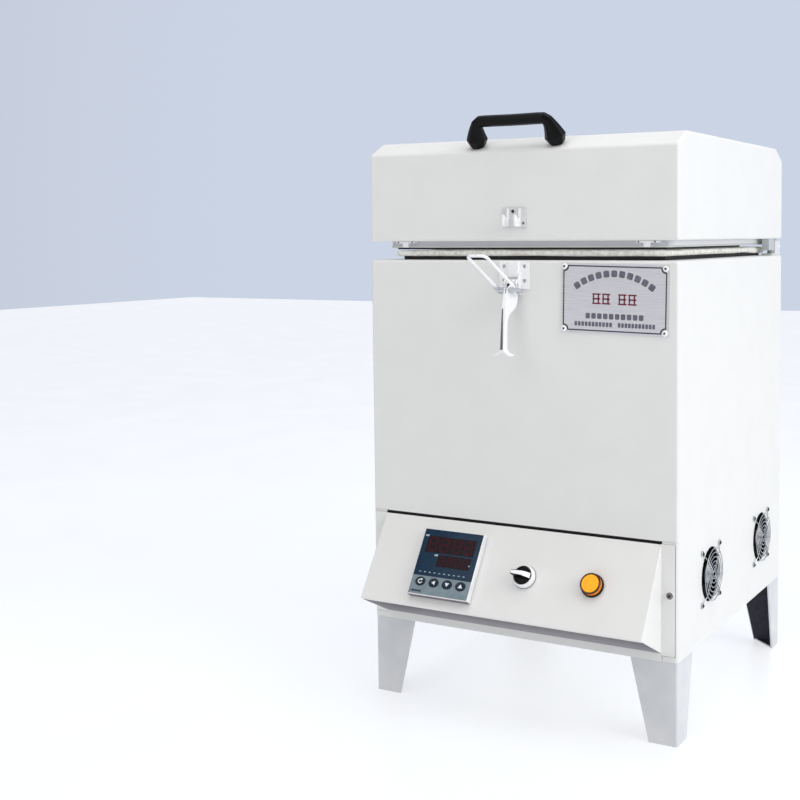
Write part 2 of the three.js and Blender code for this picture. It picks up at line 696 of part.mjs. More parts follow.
function fanRotorGeometry() {
  const hub = 16;
  const tip = 35;
  const pitch = 38; // degrees
  const middle = -11;
  const blades = [];
  const count = 7;
  for (let i = 0; i < count; i++) {
    const blade = new THREE.BoxGeometry(20, 1.6, tip - hub + 2);
    blade.rotateZ(THREE.MathUtils.degToRad(pitch));
    blade.translate(middle, 0, (tip + hub) / 2 - 1);
    blade.rotateX((2 * Math.PI * i) / count);
    blades.push(blade);
  }
  return join(bar([-21, 0, 0], [-1.5, 0, 0], hub, 20), ...blades);
}

function ringOf(outer, inner, depth) {
  const shape = new THREE.Shape().absarc(0, 0, outer, 0, 2 * Math.PI);
  shape.holes.push(new THREE.Path().absarc(0, 0, inner, 0, 2 * Math.PI, true));
  const turn = new THREE.Matrix4().makeBasis(Y, Z, X);
  return extruded(shape, depth, 10).applyMatrix4(turn);
}

function fanGuardGeometry() {
  const wire = 4;
  const reach = FAN.pitch * 0.74;
  const spokes = [45, -45].map((angle) => {
    const spoke = block([0, -reach, -1], [wire, reach, 1]);
    return spoke.rotateX(THREE.MathUtils.degToRad(angle));
  });
  const rings = [12, 20, 28, 36].map((radius) => ringOf(radius + 1, radius - 1, wire));
  return join(...rings, ...spokes);
}

function addFans() {
  FAN.ys.forEach((y, i) => {
    const end = ["front", "rear"][i];
    const fan = new THREE.Group();
    fan.position.set(INSIDE - GAP, y, FAN.z);
    place(fan, `fan_frame_${end}`, fanFrameGeometry(), blackPlastic);
    place(fan, `fan_rotor_${end}`, fanRotorGeometry(), blackPlastic);
    kiln.add(fan);
    const guard = new THREE.Group();
    guard.position.set(HALF + GAP, y, FAN.z);
    place(guard, `fan_guard_${end}`, fanGuardGeometry(), chrome);
    kiln.add(guard);
  });
}

// In the lower bay: a thyristor regulator on its heat sink, a terminal block and the cable gland.
function addElectrics() {
  const floor = UNDERSIDE + SHEET + GAP;
  const sink = { left: -170, right: -60, front: 210, back: 340, base: 12, fin: 4, pitch: 17, top: 45 };
  const parts = [block([sink.left, sink.front, floor], [sink.right, sink.back, floor + sink.base])];
  for (let x = sink.left + 2; x <= sink.right - 6; x += sink.pitch) {
    const low = floor + sink.base - 1;
    parts.push(block([x, sink.front, low], [x + sink.fin, sink.back, floor + sink.top]));
  }
  const module = block([-150, 225, floor + sink.top - 1], [-80, 325, floor + 80]);
  place(kiln, "power_regulator", join(...parts, module), aluminium);
  const rail = { left: -60, front: 400, back: 430, base: 18, top: 28, pitch: 20, count: 5 };
  const { left, front, back, base, top, pitch, count } = rail;
  const terminals = [block([left, front, floor], [left + pitch * count, back, floor + base])];
  for (let i = 0; i < count; i++) {
    const x = left + 2 + i * pitch;
    terminals.push(block([x, front + 4, floor + base - 1], [x + pitch - 6, back - 4, floor + top]));
  }
  place(kiln, "terminal_block", join(...terminals), ceramic);
  const { thread } = GLAND;
  const gland = turned([
    [0, -9], [thread, -9], [thread, GAP], [14, GAP], [14, 6], [12.5, 7], [12.5, 16], [9, 20], [6, 20],
    [6, 16], [0, 16],
  ], 18);
  const exit = new THREE.Group();
  exit.position.set(GLAND.x, DEPTH, GLAND.z);
  exit.rotation.x = -Math.PI / 2;
  place(exit, "cable_gland", gland, blackPlastic);
  kiln.add(exit);
}

function addNameplate() {
  const { left, right, bottom, top, sheet } = NAMEPLATE;
  place(kiln, "nameplate", block([left, -GAP - sheet, bottom], [right, -GAP, top]), aluminium);
}

const lid = new THREE.Group();
kiln.add(lid);
addLegs();
addCabinet();
addChamber();
addHeating();
addHinges(lid);
addLid(lid);
addHandle(lid);
addLatch(lid);
addControlBox();
addController();
addSelector();
addLamp();
addFans();
addElectrics();
addNameplate();

// The origin is the middle of the whole kiln's base.
kiln.updateMatrixWorld(true);
const bounds = new THREE.Box3().setFromObject(kiln, true);
const middle = bounds.getCenter(new THREE.Vector3());
kiln.position.set(-middle.x, -middle.y, -bounds.min.z);

export default kiln;
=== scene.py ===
"""The looks of a top-loading pottery kiln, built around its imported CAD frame.

Pieces are modelled in millimetres in the kiln's own space: x = 0 is its middle plane, y = 0 the face of
the front panel (the front looks along -Y) and z = 0 the floor. finish_piece() moves each into the row frame.
"""
import json
import math
from contextlib import contextmanager

import bmesh
import bpy
from mathutils import Matrix, Vector, noise


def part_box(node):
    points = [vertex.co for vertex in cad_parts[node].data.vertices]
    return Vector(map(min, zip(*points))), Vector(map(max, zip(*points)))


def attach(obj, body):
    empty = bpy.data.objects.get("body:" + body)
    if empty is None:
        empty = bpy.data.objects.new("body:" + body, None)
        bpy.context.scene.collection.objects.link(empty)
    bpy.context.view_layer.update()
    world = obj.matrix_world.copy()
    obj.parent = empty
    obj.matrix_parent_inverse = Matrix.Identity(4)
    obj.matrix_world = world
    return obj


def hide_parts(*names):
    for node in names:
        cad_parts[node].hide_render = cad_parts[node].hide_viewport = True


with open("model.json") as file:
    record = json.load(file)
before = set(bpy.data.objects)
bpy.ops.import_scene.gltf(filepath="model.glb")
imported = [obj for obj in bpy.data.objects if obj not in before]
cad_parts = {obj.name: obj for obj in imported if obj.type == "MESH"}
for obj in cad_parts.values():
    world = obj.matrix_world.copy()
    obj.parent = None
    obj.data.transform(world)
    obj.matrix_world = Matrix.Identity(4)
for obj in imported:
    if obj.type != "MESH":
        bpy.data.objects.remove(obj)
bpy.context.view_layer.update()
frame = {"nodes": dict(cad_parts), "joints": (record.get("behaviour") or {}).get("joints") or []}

MM = 0.001
QUARTER = math.pi / 2
shift = Matrix.Translation
PANEL_LOW, PANEL_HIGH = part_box("front_panel")
ORIGIN = Vector(((PANEL_LOW.x + PANEL_HIGH.x) / 2, PANEL_LOW.y, 0))
TO_ROW = shift(ORIGIN) @ Matrix.Scale(MM, 4)
X, Y, Z = Vector((1, 0, 0)), Vector((0, 1, 0)), Vector((0, 0, 1))


def spin(angle, axis):
    return Matrix.Rotation(angle, 4, axis)


def span(node):
    """A CAD node's lowest and highest corners in the kiln's own millimetres."""
    low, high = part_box(node)
    return (low - ORIGIN) / MM, (high - ORIGIN) / MM


def joint_at(name):
    """A joint's place in the kiln's own millimetres."""
    joint = next(j for j in frame["joints"] if j["name"] == name)
    return (Vector(joint["pos_m"]) - ORIGIN) / MM


# ---- Driving sizes: read from the frame where a node gives them, otherwise as the CAD part is drawn ----
HALF = span("side_panel_right")[1].x
DEPTH = span("rear_cover")[1].y
UNDERSIDE = span("side_panel_right")[0].z
BODY_TOP = span("top_rim")[1].z
PANEL_BOTTOM = span("front_panel")[0].z
LID_BOTTOM, LID_TOP = span("lid_shell")[0].z, span("lid_shell")[1].z
SHEET = 2.0
FOLD = 4.0  # outside radius of the cabinet's folded corners
CHAMFER_RUN, CHAMFER_RISE = 33.0, 18.0
# The control box's half width, the heights of its top, nose and rear underside, and how far it juts out
BOX_HALF, BOX_TOP, BOX_NOSE, BOX_BACK, BOX_REACH = 213.0, 267.0, 158.0, 122.0, 70.0
FLANGE_X = span("control_box")[1].x
FRONT = -0.3  # what is fastened on the front panel stands this far off it


# ---- Meshes ----
@contextmanager
def editing(piece):
    """A piece's mesh as a bmesh, written back when the block ends."""
    bm = bmesh.new()
    bm.from_mesh(piece.data)
    yield bm
    bm.to_mesh(piece.data)
    bm.free()


def join_rings(bm, rings):
    """Faces between each ring of corners and the next one."""
    for a, b in zip(rings, rings[1:]):
        for j in range(len(a)):
            k = (j + 1) % len(a)
            bm.faces.new((a[j], a[k], b[k], b[j]))


def rect(x, y, half_x, half_y):
    """A rectangle's outline about its middle."""
    return [(x + a * half_x, y + b * half_y) for a, b in ((-1, -1), (1, -1), (1, 1), (-1, 1))]


def object_of(name, bm):
    bmesh.ops.recalc_face_normals(bm, faces=bm.faces)
    mesh = bpy.data.meshes.new(name)
    bm.to_mesh(mesh)
    bm.free()
    piece = bpy.data.objects.new(name, mesh)
    bpy.context.scene.collection.objects.link(piece)
    return piece


def box(name, low, high):
    bm = bmesh.new()
    bmesh.ops.create_cube(bm, size=1)
    low, high = Vector(low), Vector(high)
    for v in bm.verts:
        v.co = Vector([(low[i] + high[i]) / 2 + v.co[i] * (high[i] - low[i]) for i in range(3)])
    return object_of(name, bm)


def prism(name, outline, place, start, end):
    """An outline of (u, v) points, carried from start to end; place(u, v, w) gives each corner."""
    bm = bmesh.new()
    rings = [[bm.verts.new(place(u, v, w)) for u, v in outline] for w in (start, end)]
    count = len(outline)
    bm.faces.new(rings[0])
    bm.faces.new(list(reversed(rings[1])))
    for i in range(count):
        j = (i + 1) % count
        bm.faces.new((rings[0][i], rings[1][i], rings[1][j], rings[0][j]))
    return object_of(name, bm)


def along_x(name, outline, start, end):
    """A side outline in (y, z)."""
    return prism(name, outline, lambda u, v, w: (w, u, v), start, end)


def along_y(name, outline, start, end):
    """A front outline in (x, z)."""
    return prism(name, outline, lambda u, v, w: (u, w, v), start, end)


def along_z(name, outline, start, end):
    """A plan outline in (x, y)."""
    return prism(name, outline, lambda u, v, w: (u, v, w), start, end)


def arc(centre, radius, start, end, steps):
    """Points on an arc between two angles in degrees."""
    angles = [math.radians(start + (end - start) * i / steps) for i in range(steps + 1)]
    return [(centre[0] + radius * math.cos(a), centre[1] + radius * math.sin(a)) for a in angles]


def turned(name, profile, sides=48):
    """A profile of (radius, height) points from axis to axis, turned about +Z."""
    bm = bmesh.new()
    rings = []
    for radius, height in profile:
        if radius == 0:
            rings.append([bm.verts.new((0, 0, height))])
            continue
        points = arc((0, 0), radius, 0, 360, sides)[:-1]
        rings.append([bm.verts.new((x, y, height)) for x, y in points])
    for a, b in zip(rings, rings[1:]):
        for i in range(sides):
            j = (i + 1) % sides
            corners = [a[i % len(a)], a[j % len(a)], b[j % len(b)], b[i % len(b)]]
            unique = list(dict.fromkeys(corners))
            if len(unique) > 2:
                bm.faces.new(unique)
    return object_of(name, bm)


def bar(name, start, end, radius, sides=32):
    start, end = Vector(start), Vector(end)
    length = (end - start).length
    piece = turned(name, [(0, 0), (radius, 0), (radius, length), (0, length)], sides)
    turn = Z.rotation_difference(end - start).to_matrix().to_4x4()
    piece.data.transform(shift(start) @ turn)
    return piece


def swept(name, path, section, closed=False):
    """Sections along a path. section(i) gives the (u, v) points at path point i."""
    points = [Vector(p) for p in path]
    count = len(points)
    bm = bmesh.new()
    side = None
    rings = []
    for i, point in enumerate(points):
        before = points[i - 1] if i or closed else point
        after = points[(i + 1) % count] if i + 1 < count or closed else point
        way = (after - before).normalized()
        if side is None:
            side = way.orthogonal().normalized()
        side = (side - way * side.dot(way)).normalized()
        up = way.cross(side)
        rings.append([bm.verts.new(point + side * u + up * v) for u, v in section(i)])
    join_rings(bm, rings + rings[:1] if closed else rings)
    if not closed:
        bm.faces.new(rings[0])
        bm.faces.new(list(reversed(rings[-1])))
    return object_of(name, bm)


def wire(name, path, radius, closed=False, sides=12):
    ring = arc((0, 0), radius, 0, 360, sides)[:-1]
    return swept(name, path, lambda i: ring, closed)


def settle(piece):
    """Makes a piece's modifiers part of its mesh."""
    bpy.context.view_layer.update()
    graph = bpy.context.evaluated_depsgraph_get()
    mesh = bpy.data.meshes.new_from_object(piece.evaluated_get(graph))
    piece.modifiers.clear()
    piece.data = mesh
    return piece


def combine(piece, others, operation):
    for other in others:
        step = piece.modifiers.new("step", "BOOLEAN")
        step.object = other
        step.operation = operation
        step.solver = "EXACT"
    settle(piece)
    for other in others:
        bpy.data.objects.remove(other)
    return piece


def cut(piece, *others):
    return combine(piece, others, "DIFFERENCE")


def fuse(piece, *others):
    return combine(piece, others, "UNION")


def keep(piece, *others):
    return combine(piece, others, "INTERSECT")


def gather(name, pieces):
    """Several closed shapes as one mesh, without a boolean."""
    bm = bmesh.new()
    for piece in pieces:
        bm.from_mesh(piece.data)
        bpy.data.objects.remove(piece)
    return object_of(name, bm)


def rounded(piece, radius, segments=3, angle=30):
    step = piece.modifiers.new("edges", "BEVEL")
    step.width = radius
    step.segments = segments
    step.limit_method = "ANGLE"
    step.angle_limit = math.radians(angle)
    step.use_clamp_overlap = True
    return settle(piece)


def shade(piece, angle=35):
    """Smooth shading, with edges sharper than the angle kept hard and flat faces kept flat."""
    limit = math.radians(angle)
    with editing(piece) as bm:
        for face in bm.faces:
            face.smooth = True
        for edge in bm.edges:
            edge.smooth = len(edge.link_faces) == 2 and edge.calc_face_angle(0) < limit
    step = piece.modifiers.new("flat faces", "WEIGHTED_NORMAL")
    step.keep_sharp = True
    return settle(piece)


def moved(piece, matrix):
    piece.data.transform(matrix)
    if matrix.determinant() < 0:
        piece.data.flip_normals()
    return piece


def finish_piece(piece, material, nodes=(), body="cabinet", angle=35):
    """Shades a piece, moves it into the row frame and names its body, slot and the CAD nodes it replaces."""
    shade(piece, angle)
    piece.data.transform(TO_ROW)
    piece.data.materials.clear()
    piece.data.materials.append(material)
    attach(piece, body)
    if nodes:
        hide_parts(*nodes)
    return piece


# ---- Materials ----
class Surface:
    """A Principled material whose colour, roughness and relief vary with noise in the piece's own space."""

    def __init__(self, name, color, roughness, metallic=0.0):
        self.material = bpy.data.materials.new(name)
        self.material.use_nodes = True
        self.nodes = self.material.node_tree.nodes
        self.links = self.material.node_tree.links
        self.shader = self.nodes["Principled BSDF"]
        self.color = color
        self.roughness = roughness
        self.shader.inputs["Metallic"].default_value = metallic
        self.shader.inputs["Base Color"].default_value = (*color, 1)
        self.shader.inputs["Roughness"].default_value = roughness
        self.place = self.nodes.new("ShaderNodeTexCoord").outputs["Object"]
        self.relief = None

    def stretched(self, scale):
        mapping = self.nodes.new("ShaderNodeMapping")
        mapping.inputs["Scale"].default_value = scale
        self.links.new(self.place, mapping.inputs["Vector"])
        return mapping.outputs["Vector"]

    def noise(self, per_metre, detail=4.0, stretch=(1, 1, 1)):
        texture = self.nodes.new("ShaderNodeTexNoise")
        texture.inputs["Scale"].default_value = per_metre
        texture.inputs["Detail"].default_value = detail
        self.links.new(self.stretched(stretch), texture.inputs["Vector"])
        return texture.outputs["Fac"]

    def mapped(self, value, low, high, start=0.3, end=0.7):
        step = self.nodes.new("ShaderNodeMapRange")
        for key, number in (("From Min", start), ("From Max", end), ("To Min", low), ("To Max", high)):
            step.inputs[key].default_value = number
        self.links.new(value, step.inputs["Value"])
        return step.outputs["Result"]

    def mix(self, value, first, second):
        step = self.nodes.new("ShaderNodeMix")
        step.data_type = "RGBA"
        step.inputs["A"].default_value = (*first, 1)
        step.inputs["B"].default_value = (*second, 1)
        self.links.new(value, step.inputs["Factor"])
        return step.outputs["Result"]

    def tint(self, value, other, start=0.35, end=0.65):
        """Colour runs from the base colour to another as the value rises."""
        amount = self.mapped(value, 0.0, 1.0, start, end)
        self.links.new(self.mix(amount, self.color, other), self.shader.inputs["Base Color"])
        return self

    def gloss(self, value, spread):
        result = self.mapped(value, self.roughness - spread, self.roughness + spread)
        self.links.new(result, self.shader.inputs["Roughness"])
        return self

    def bump(self, value, strength, distance):
        step = self.nodes.new("ShaderNodeBump")
        step.inputs["Strength"].default_value = strength
        step.inputs["Distance"].default_value = distance
        self.links.new(value, step.inputs["Height"])
        if self.relief:
            self.links.new(self.relief, step.inputs["Normal"])
        self.relief = step.outputs["Normal"]
        self.links.new(self.relief, self.shader.inputs["Normal"])
        return self


def srgb(text):
    """A colour written as six hexadecimal digits, in linear light."""
    values = [int(text[i:i + 2], 16) / 255 for i in (0, 2, 4)]
    return tuple(v / 12.92 if v <= 0.04045 else ((v + 0.055) / 1.055) ** 2.4 for v in values)


# Each of these makes a kind of material, with its own scales of noise for tint, gloss and relief.
def powder_coat(name, color, other):
    made = Surface(name, srgb(color), 0.42)
    made.tint(made.noise(22, 5), srgb(other))
    made.gloss(made.noise(90, 3), 0.03)
    made.bump(made.noise(620, 2), 0.10, 0.0004)
    return made.material


def plated(name, color, other, roughness, metallic=1.0):
    made = Surface(name, srgb(color), roughness, metallic)
    made.tint(made.noise(26, 3), srgb(other), 0.2, 0.8)
    made.gloss(made.noise(90, 3), 0.04)
    made.bump(made.noise(500, 2), 0.03, 0.0001)
    return made.material


def graded(name, near, far, start, end):
    """Painted shade: a colour that runs from one to another between two distances back, in metres."""
    made = Surface(name, srgb(near), 0.5)
    place = made.nodes.new("ShaderNodeSeparateXYZ")
    made.links.new(made.place, place.inputs["Vector"])
    made.tint(place.outputs["Y"], srgb(far), start, end)
    made.gloss(made.noise(90, 3), 0.04)
    made.bump(made.noise(620, 2), 0.10, 0.0004)
    return made.material


def brushed(name, color, other, roughness):
    made = Surface(name, srgb(color), roughness, metallic=0.6)
    grain = made.noise(60, 4, stretch=(0.6, 30, 30))
    made.tint(grain, srgb(other))
    made.gloss(made.noise(120, 4, stretch=(0.4, 20, 20)), 0.07)
    made.bump(grain, 0.08, 0.0001)
    return made.material


def moulded(name, color, other, roughness, grain=1500.0, depth=0.12, shine=0.5):
    made = Surface(name, srgb(color), roughness)
    made.shader.inputs["Specular IOR Level"].default_value = shine
    made.tint(made.noise(120, 4), srgb(other))
    made.gloss(made.noise(300, 3), 0.05)
    made.bump(made.noise(grain, 2), depth, 0.0002)
    return made.material


def fibre_wool(name, color, other, glow=0.0):
    made = Surface(name, srgb(color), 0.95)
    # Emission, where asked, is a painted glow.
    made.shader.inputs["Emission Color"].default_value = (*srgb(color), 1)
    made.shader.inputs["Emission Strength"].default_value = glow
    made.tint(made.noise(160, 6), srgb(other))
    made.bump(made.noise(420, 8), 0.55, 0.0012)
    made.bump(made.noise(2600, 4, stretch=(1, 1, 3)), 0.4, 0.0004)
    return made.material


def firebrick(name, color, other):
    made = Surface(name, srgb(color), 0.92)
    made.tint(made.noise(90, 8), srgb(other))
    pores = made.nodes.new("ShaderNodeTexVoronoi")
    pores.inputs["Scale"].default_value = 420
    made.links.new(made.place, pores.inputs["Vector"])
    made.bump(made.mapped(pores.outputs["Distance"], 0, 1, 0.1, 0.45), 0.5, 0.0008)
    made.bump(made.noise(900, 5), 0.3, 0.0005)
    return made.material


def lens_plastic(name, color, other, glow):
    made = Surface(name, srgb(color), 0.20)
    made.tint(made.noise(400, 3), srgb(other))
    made.gloss(made.noise(500, 3), 0.04)
    made.shader.inputs["Specular IOR Level"].default_value = 0.35
    made.shader.inputs["Emission Color"].default_value = (*srgb(color), 1)
    made.shader.inputs["Emission Strength"].default_value = glow
    made.bump(made.noise(700, 2), 0.1, 0.0003)
    return made.material


PAINT = powder_coat("white powder coat", "E8E8E6", "E6E6E4")
LEG_PAINT = powder_coat("grey-white powder coat", "DADBDD", "CFD1D4")
# Painted shade under the control box: darkest just behind the box's nose, lighter towards the front panel.
UNDERSIDE_SHADE = graded("painted shade under the control box", "3F353D", "8A878E", ORIGIN.y - BOX_REACH * MM, ORIGIN.y)
# Galvanised steel with painted shade on the lid's inner frame: darker at its front, lighter further back.
SHADED_LID_STEEL = graded("galvanised lid frame, painted shade at the front", "C4C4CC", "F2F2F5", ORIGIN.y + 0.016, ORIGIN.y + 0.05)
WHITE_METAL = plated("white metal", "FCFCFD", "F4F5F7", 0.30, metallic=0.1)
BRIGHT = plated("bright bezel", "FCFCFD", "F5F6F8", 0.18, metallic=0.25)
ZINC = plated("bright zinc", "FCFCFD", "F5F6F8", 0.28, metallic=0.05)
NUT_ZINC = plated("zinc on nuts and threads", "DEE1E5", "BCC0C6", 0.24, metallic=0.5)
# Painted shade for the latch lever's front face.
ZINC_FRONT_SHADE = plated("zinc, painted shade on the lever's front", "6E7177", "5E6167", 0.36, metallic=0.3)
SCREW_STEEL = plated("screw steel", "8F8A88", "77716F", 0.30, metallic=0.8)
CHROME = plated("chrome", "C2C6CB", "A8ACB2", 0.14)
STEEL = plated("galvanised steel", "E0E0E5", "D4D4DA", 0.42, metallic=0.12)
LIP_STEEL = plated("galvanised lip", "DCDEDC", "CFD1CF", 0.45, metallic=0.15)
HINGE_STEEL = plated("hinge steel", "C6CACD", "B9BDC0", 0.42, metallic=0.2)
BRACKET_STEEL = plated("bracket steel", "E4E6E5", "DADCDB", 0.40, metallic=0.2)
DARK_STEEL = plated("blackened steel", "4A4D52", "36393E", 0.40)
PLATE = brushed("brushed aluminium", "E2E2E7", "D2D2D8", 0.38)
BLACK = moulded("black moulded plastic", "101114", "15161A", 0.38, shine=0.3)
GRIP_BLACK = moulded("black grip plastic", "060708", "0A0A0C", 0.34, shine=0.14)
GREY = moulded("light grey plastic", "C6C7CC", "B9BABF", 0.45)
WHITE_PLASTIC = moulded("white plastic", "ECECEE", "E4E4E6", 0.42)
# Grey for the selector's gasket, and painted shade on the controller case's lower side face.
MAUVE = moulded("grey gasket and painted bezel shade", "7A747C", "6A656C", 0.55, shine=0.2)
NAVY = moulded("dark blue window", "102A40", "15324A", 0.14, depth=0.02, shine=0.2)
BACKING = moulded("dark display", "14111A", "18141E", 0.20, depth=0.02, shine=0.15)
KEYPAD = moulded("grey-green keypad", "82929A", "76868E", 0.40, shine=0.3)
KEY_CAP = moulded("navy key cap", "0F1D2E", "142538", 0.30, shine=0.3)
DIGIT = moulded("unlit red segments", "300D14", "3A1018", 0.25, depth=0.03, shine=0.15)
WHITE_INK = moulded("pale ink", "A9BCCB", "97ABBC", 0.50, depth=0.05)
KEY_INK = moulded("white ink", "F0F4F7", "E0E6EB", 0.50, depth=0.05)
DARK_INK = moulded("dark ink", "2B2E3A", "3A3D49", 0.55, depth=0.05)
GREY_INK = moulded("faded ink", "595966", "6C6C79", 0.55, depth=0.05)
RED_INK = moulded("red ink", "6E1230", "7C1636", 0.50, depth=0.05)
WOOL = fibre_wool("ceramic fibre", "FAFAF7", "EFEFEA")
# The seal's glow is painted light that brightens it.
SEAL_WOOL = fibre_wool("ceramic fibre, painted glow", "F6F6F3", "D6D2C8", glow=0.09)
BRICK = firebrick("insulating firebrick", "E8DAC0", "D9C7A6")
CARBIDE = moulded("silicon carbide", "3B3C40", "55555A", 0.75, grain=900, depth=0.5)
PORCELAIN = moulded("porcelain", "EFE9DC", "E3DBC9", 0.35, depth=0.05)
AMBER = lens_plastic("amber plastic", "FABA12", "F59A08", 0.20)
AMBER_SIDE = lens_plastic("deep amber plastic", "F09A2C", "D9701A", 0.12)
AMBER_RIM = lens_plastic("amber rim", "5A1E06", "451404", 0.0)
# Black for painted shade: in screw recesses, in gaps and behind edges.
SHADE_BLACK = moulded("painted shade, black", "101114", "16171A", 0.80)
# Painted shade on the legs' inner faces and pads.
LEG_SHADE = moulded("painted shade inside the legs", "2E2E38", "373742", 0.60, grain=600, depth=0.2, shine=0.2)


# ---- Fasteners ----
def pan_screw(name, at, way, radius=4.0, material=None, body="cabinet", height=None, recess=False):
    """A pan-head screw with a cross recess, with painted shade inside the recess where asked; way is the
    direction that it faces.
    """
    height = height or radius * 0.55
    reach, half = radius * 0.55, radius * 0.11  # of the cross recess's arms
    dome = [(radius * math.cos(a), height * 0.35 + height * 0.65 * math.sin(a)) for a in
            [math.radians(d) for d in (0, 20, 40, 60, 75)]]
    head = turned(name, [(0, 0), (radius, 0), *dome, (0, height)], 28)
    slots = []
    for turn in (0, QUARTER):
        arm = box("arm", (-reach, -half, height * 0.45), (reach, half, height + 1))
        slots.append(moved(arm, spin(turn + 0.5, "Z")))
    cut(head, *slots)
    turn = Z.rotation_difference(Vector(way)).to_matrix().to_4x4()
    here = shift(Vector(at)) @ turn
    if recess:
        # The dark core in the recess is painted shade.
        low, high, wide = height * 0.5, height * 1.01, radius * 0.36
        core = turned(f"{name}_recess", [(0, low), (wide, low), (wide, high - 0.1), (0, high)], 20)
        finish_piece(moved(core, here), SHADE_BLACK, body=body)
    return finish_piece(moved(head, here), material or ZINC, body=body)


# ---- Cabinet ----
SIDES = (("left", -1), ("right", 1))


def casing(name):
    """The cabinet's outer skin: a folded sheet box with round corners, open below."""
    outer = box(name, (-HALF, 0, UNDERSIDE - 20), (HALF, DEPTH, BODY_TOP))
    rounded(outer, FOLD, 5)
    inside = HALF - SHEET
    hollow = box("hollow", (-inside, SHEET, UNDERSIDE - 40), (inside, DEPTH - SHEET, BODY_TOP - SHEET))
    rounded(hollow, FOLD - SHEET, 3)
    return cut(outer, hollow)


def casing_part(name, low, high):
    """The part of the casing that two corners span."""
    return keep(casing(name), box("part", low, high))


def centre_of(node):
    low, high = span(node)
    return (low + high) / 2


def vent_slots(low, high, count):
    """Cutters for level slots, one above another, through the sheet that the two corners span."""
    slots = []
    for i in range(count):
        z = low.z + (high.z - low.z) * i / (count - 1)
        slots.append(box("slot", (low.x, low.y, z - 2), (high.x, high.y, z + 2)))
    return slots


def make_cabinet():
    """The casing, split into front panel, side panels, top rim and rear cover, with its openings and screws."""
    beyond = 50  # past anything, so that a region cuts cleanly
    wide, deep, top = HALF + beyond, DEPTH + beyond, BODY_TOP + beyond
    seam = HALF - SHEET * 2  # where the side panels' folds end
    hole_radius, vent_half = 37.5, 33
    front = casing_part("front_sheet", (-wide, -beyond, PANEL_BOTTOM), (wide, FOLD, top))
    finish_piece(front, PAINT, ["front_panel"])
    fans = [centre_of(f"fan_guard_{end}") for end in ("front", "rear")]
    for side, sign in SIDES:
        xs = sorted((sign * seam, sign * wide))
        lower = sorted((sign * BOX_HALF, sign * wide))
        region = fuse(
            box("part", (xs[0], FOLD, UNDERSIDE), (xs[1], deep, top)),
            box("part2", (lower[0], -beyond, UNDERSIDE), (lower[1], FOLD + 0.01, PANEL_BOTTOM - 0.4)))
        panel = keep(casing(f"side_sheet_{side}"), region)
        if side == "right":
            for f in fans:
                cut(panel, bar("hole", (HALF - 9, f.y, f.z), (HALF + 9, f.y, f.z), hole_radius, 64))
        else:
            for f in fans:
                low = Vector((-HALF - 5, f.y - vent_half, f.z - vent_half))
                high = Vector((-HALF + 9, f.y + vent_half, f.z + vent_half))
                cut(panel, *vent_slots(low, high, 7))
        finish_piece(panel, PAINT, [f"side_panel_{side}"])
    rim_low = BODY_TOP - FOLD - 2
    rim = casing_part("rim_sheet", (-seam, FOLD, rim_low), (seam, deep, top))
    low, high = span("brick_floor")
    cut(rim, box("opening", (low.x - 1, low.y - 1, rim_low - 5), (high.x + 1, high.y + 1, BODY_TOP + 5)))
    finish_piece(rim, PAINT, ["top_rim"])
    low = (0.5 - seam, DEPTH - FOLD - 2, UNDERSIDE + 2.3)
    rear = casing_part("rear_sheet", low, (seam - 0.5, deep, rim_low - 0.5))
    low, high = Vector((40, DEPTH - 9, 172)), Vector((170, DEPTH + 9, 242))
    cut(rear, *vent_slots(low, high, 6))
    gland = centre_of("cable_gland")
    cut(rear, bar("hole", (gland.x, DEPTH - 9, gland.z), (gland.x, DEPTH + 9, gland.z), 12))
    finish_piece(rear, PAINT, ["rear_cover"])
    for x in (-seam + 12, 0, seam - 12):
        for z in (UNDERSIDE + 16, (UNDERSIDE + BODY_TOP) / 2, BODY_TOP - 20):
            pan_screw(f"rear_screw_{x:.0f}_{z:.0f}".replace("-", "m"), (x, DEPTH, z), Y, 4.2)


def leg_shell(name, outset, inset, trim):
    """The two tapered flanges of the front right leg, between two distances in from its outer faces."""
    low, high = span("leg_front_right")
    inner_x, outer_x, inner_y, outer_y, top = low.x, high.x, high.y, low.y, high.z
    solid = box(name, (inner_x - 5, outer_y + outset, -20), (outer_x - outset, inner_y + 5, top + 20))
    rounded(solid, max(3.0 - outset, 0.8), 4)
    hollow = box("hollow", (inner_x - 30, outer_y + inset, -40), (outer_x - inset, inner_y + 30, top + 40))
    cut(solid, rounded(hollow, 1.0, 2))

    def taper(foot, head, away):
        """What lies past a flange's slanting edge, which runs from foot up to head."""
        over, far = top + 30, head + away
        return [(foot, -30), (foot, 0), (head, top), (head, over), (far, over), (far, -30)]

    foot_wide, foot_deep, away = 40, 34, 40
    side = taper(outer_x - foot_wide + trim, inner_x + trim, -away)
    taper_x = along_y("taper", side, outer_y - 5, outer_y + inset + 2)
    side = taper(outer_y + foot_deep - trim, inner_y - trim, away)
    taper_y = along_x("taper", side, outer_x - inset - 2, outer_x + 5)
    ends = [box("end", (0, -50, -60), (300, 200, trim)), box("end", (0, -50, top), (300, 200, top + 60))]
    return cut(solid, taper_x, taper_y, *ends)


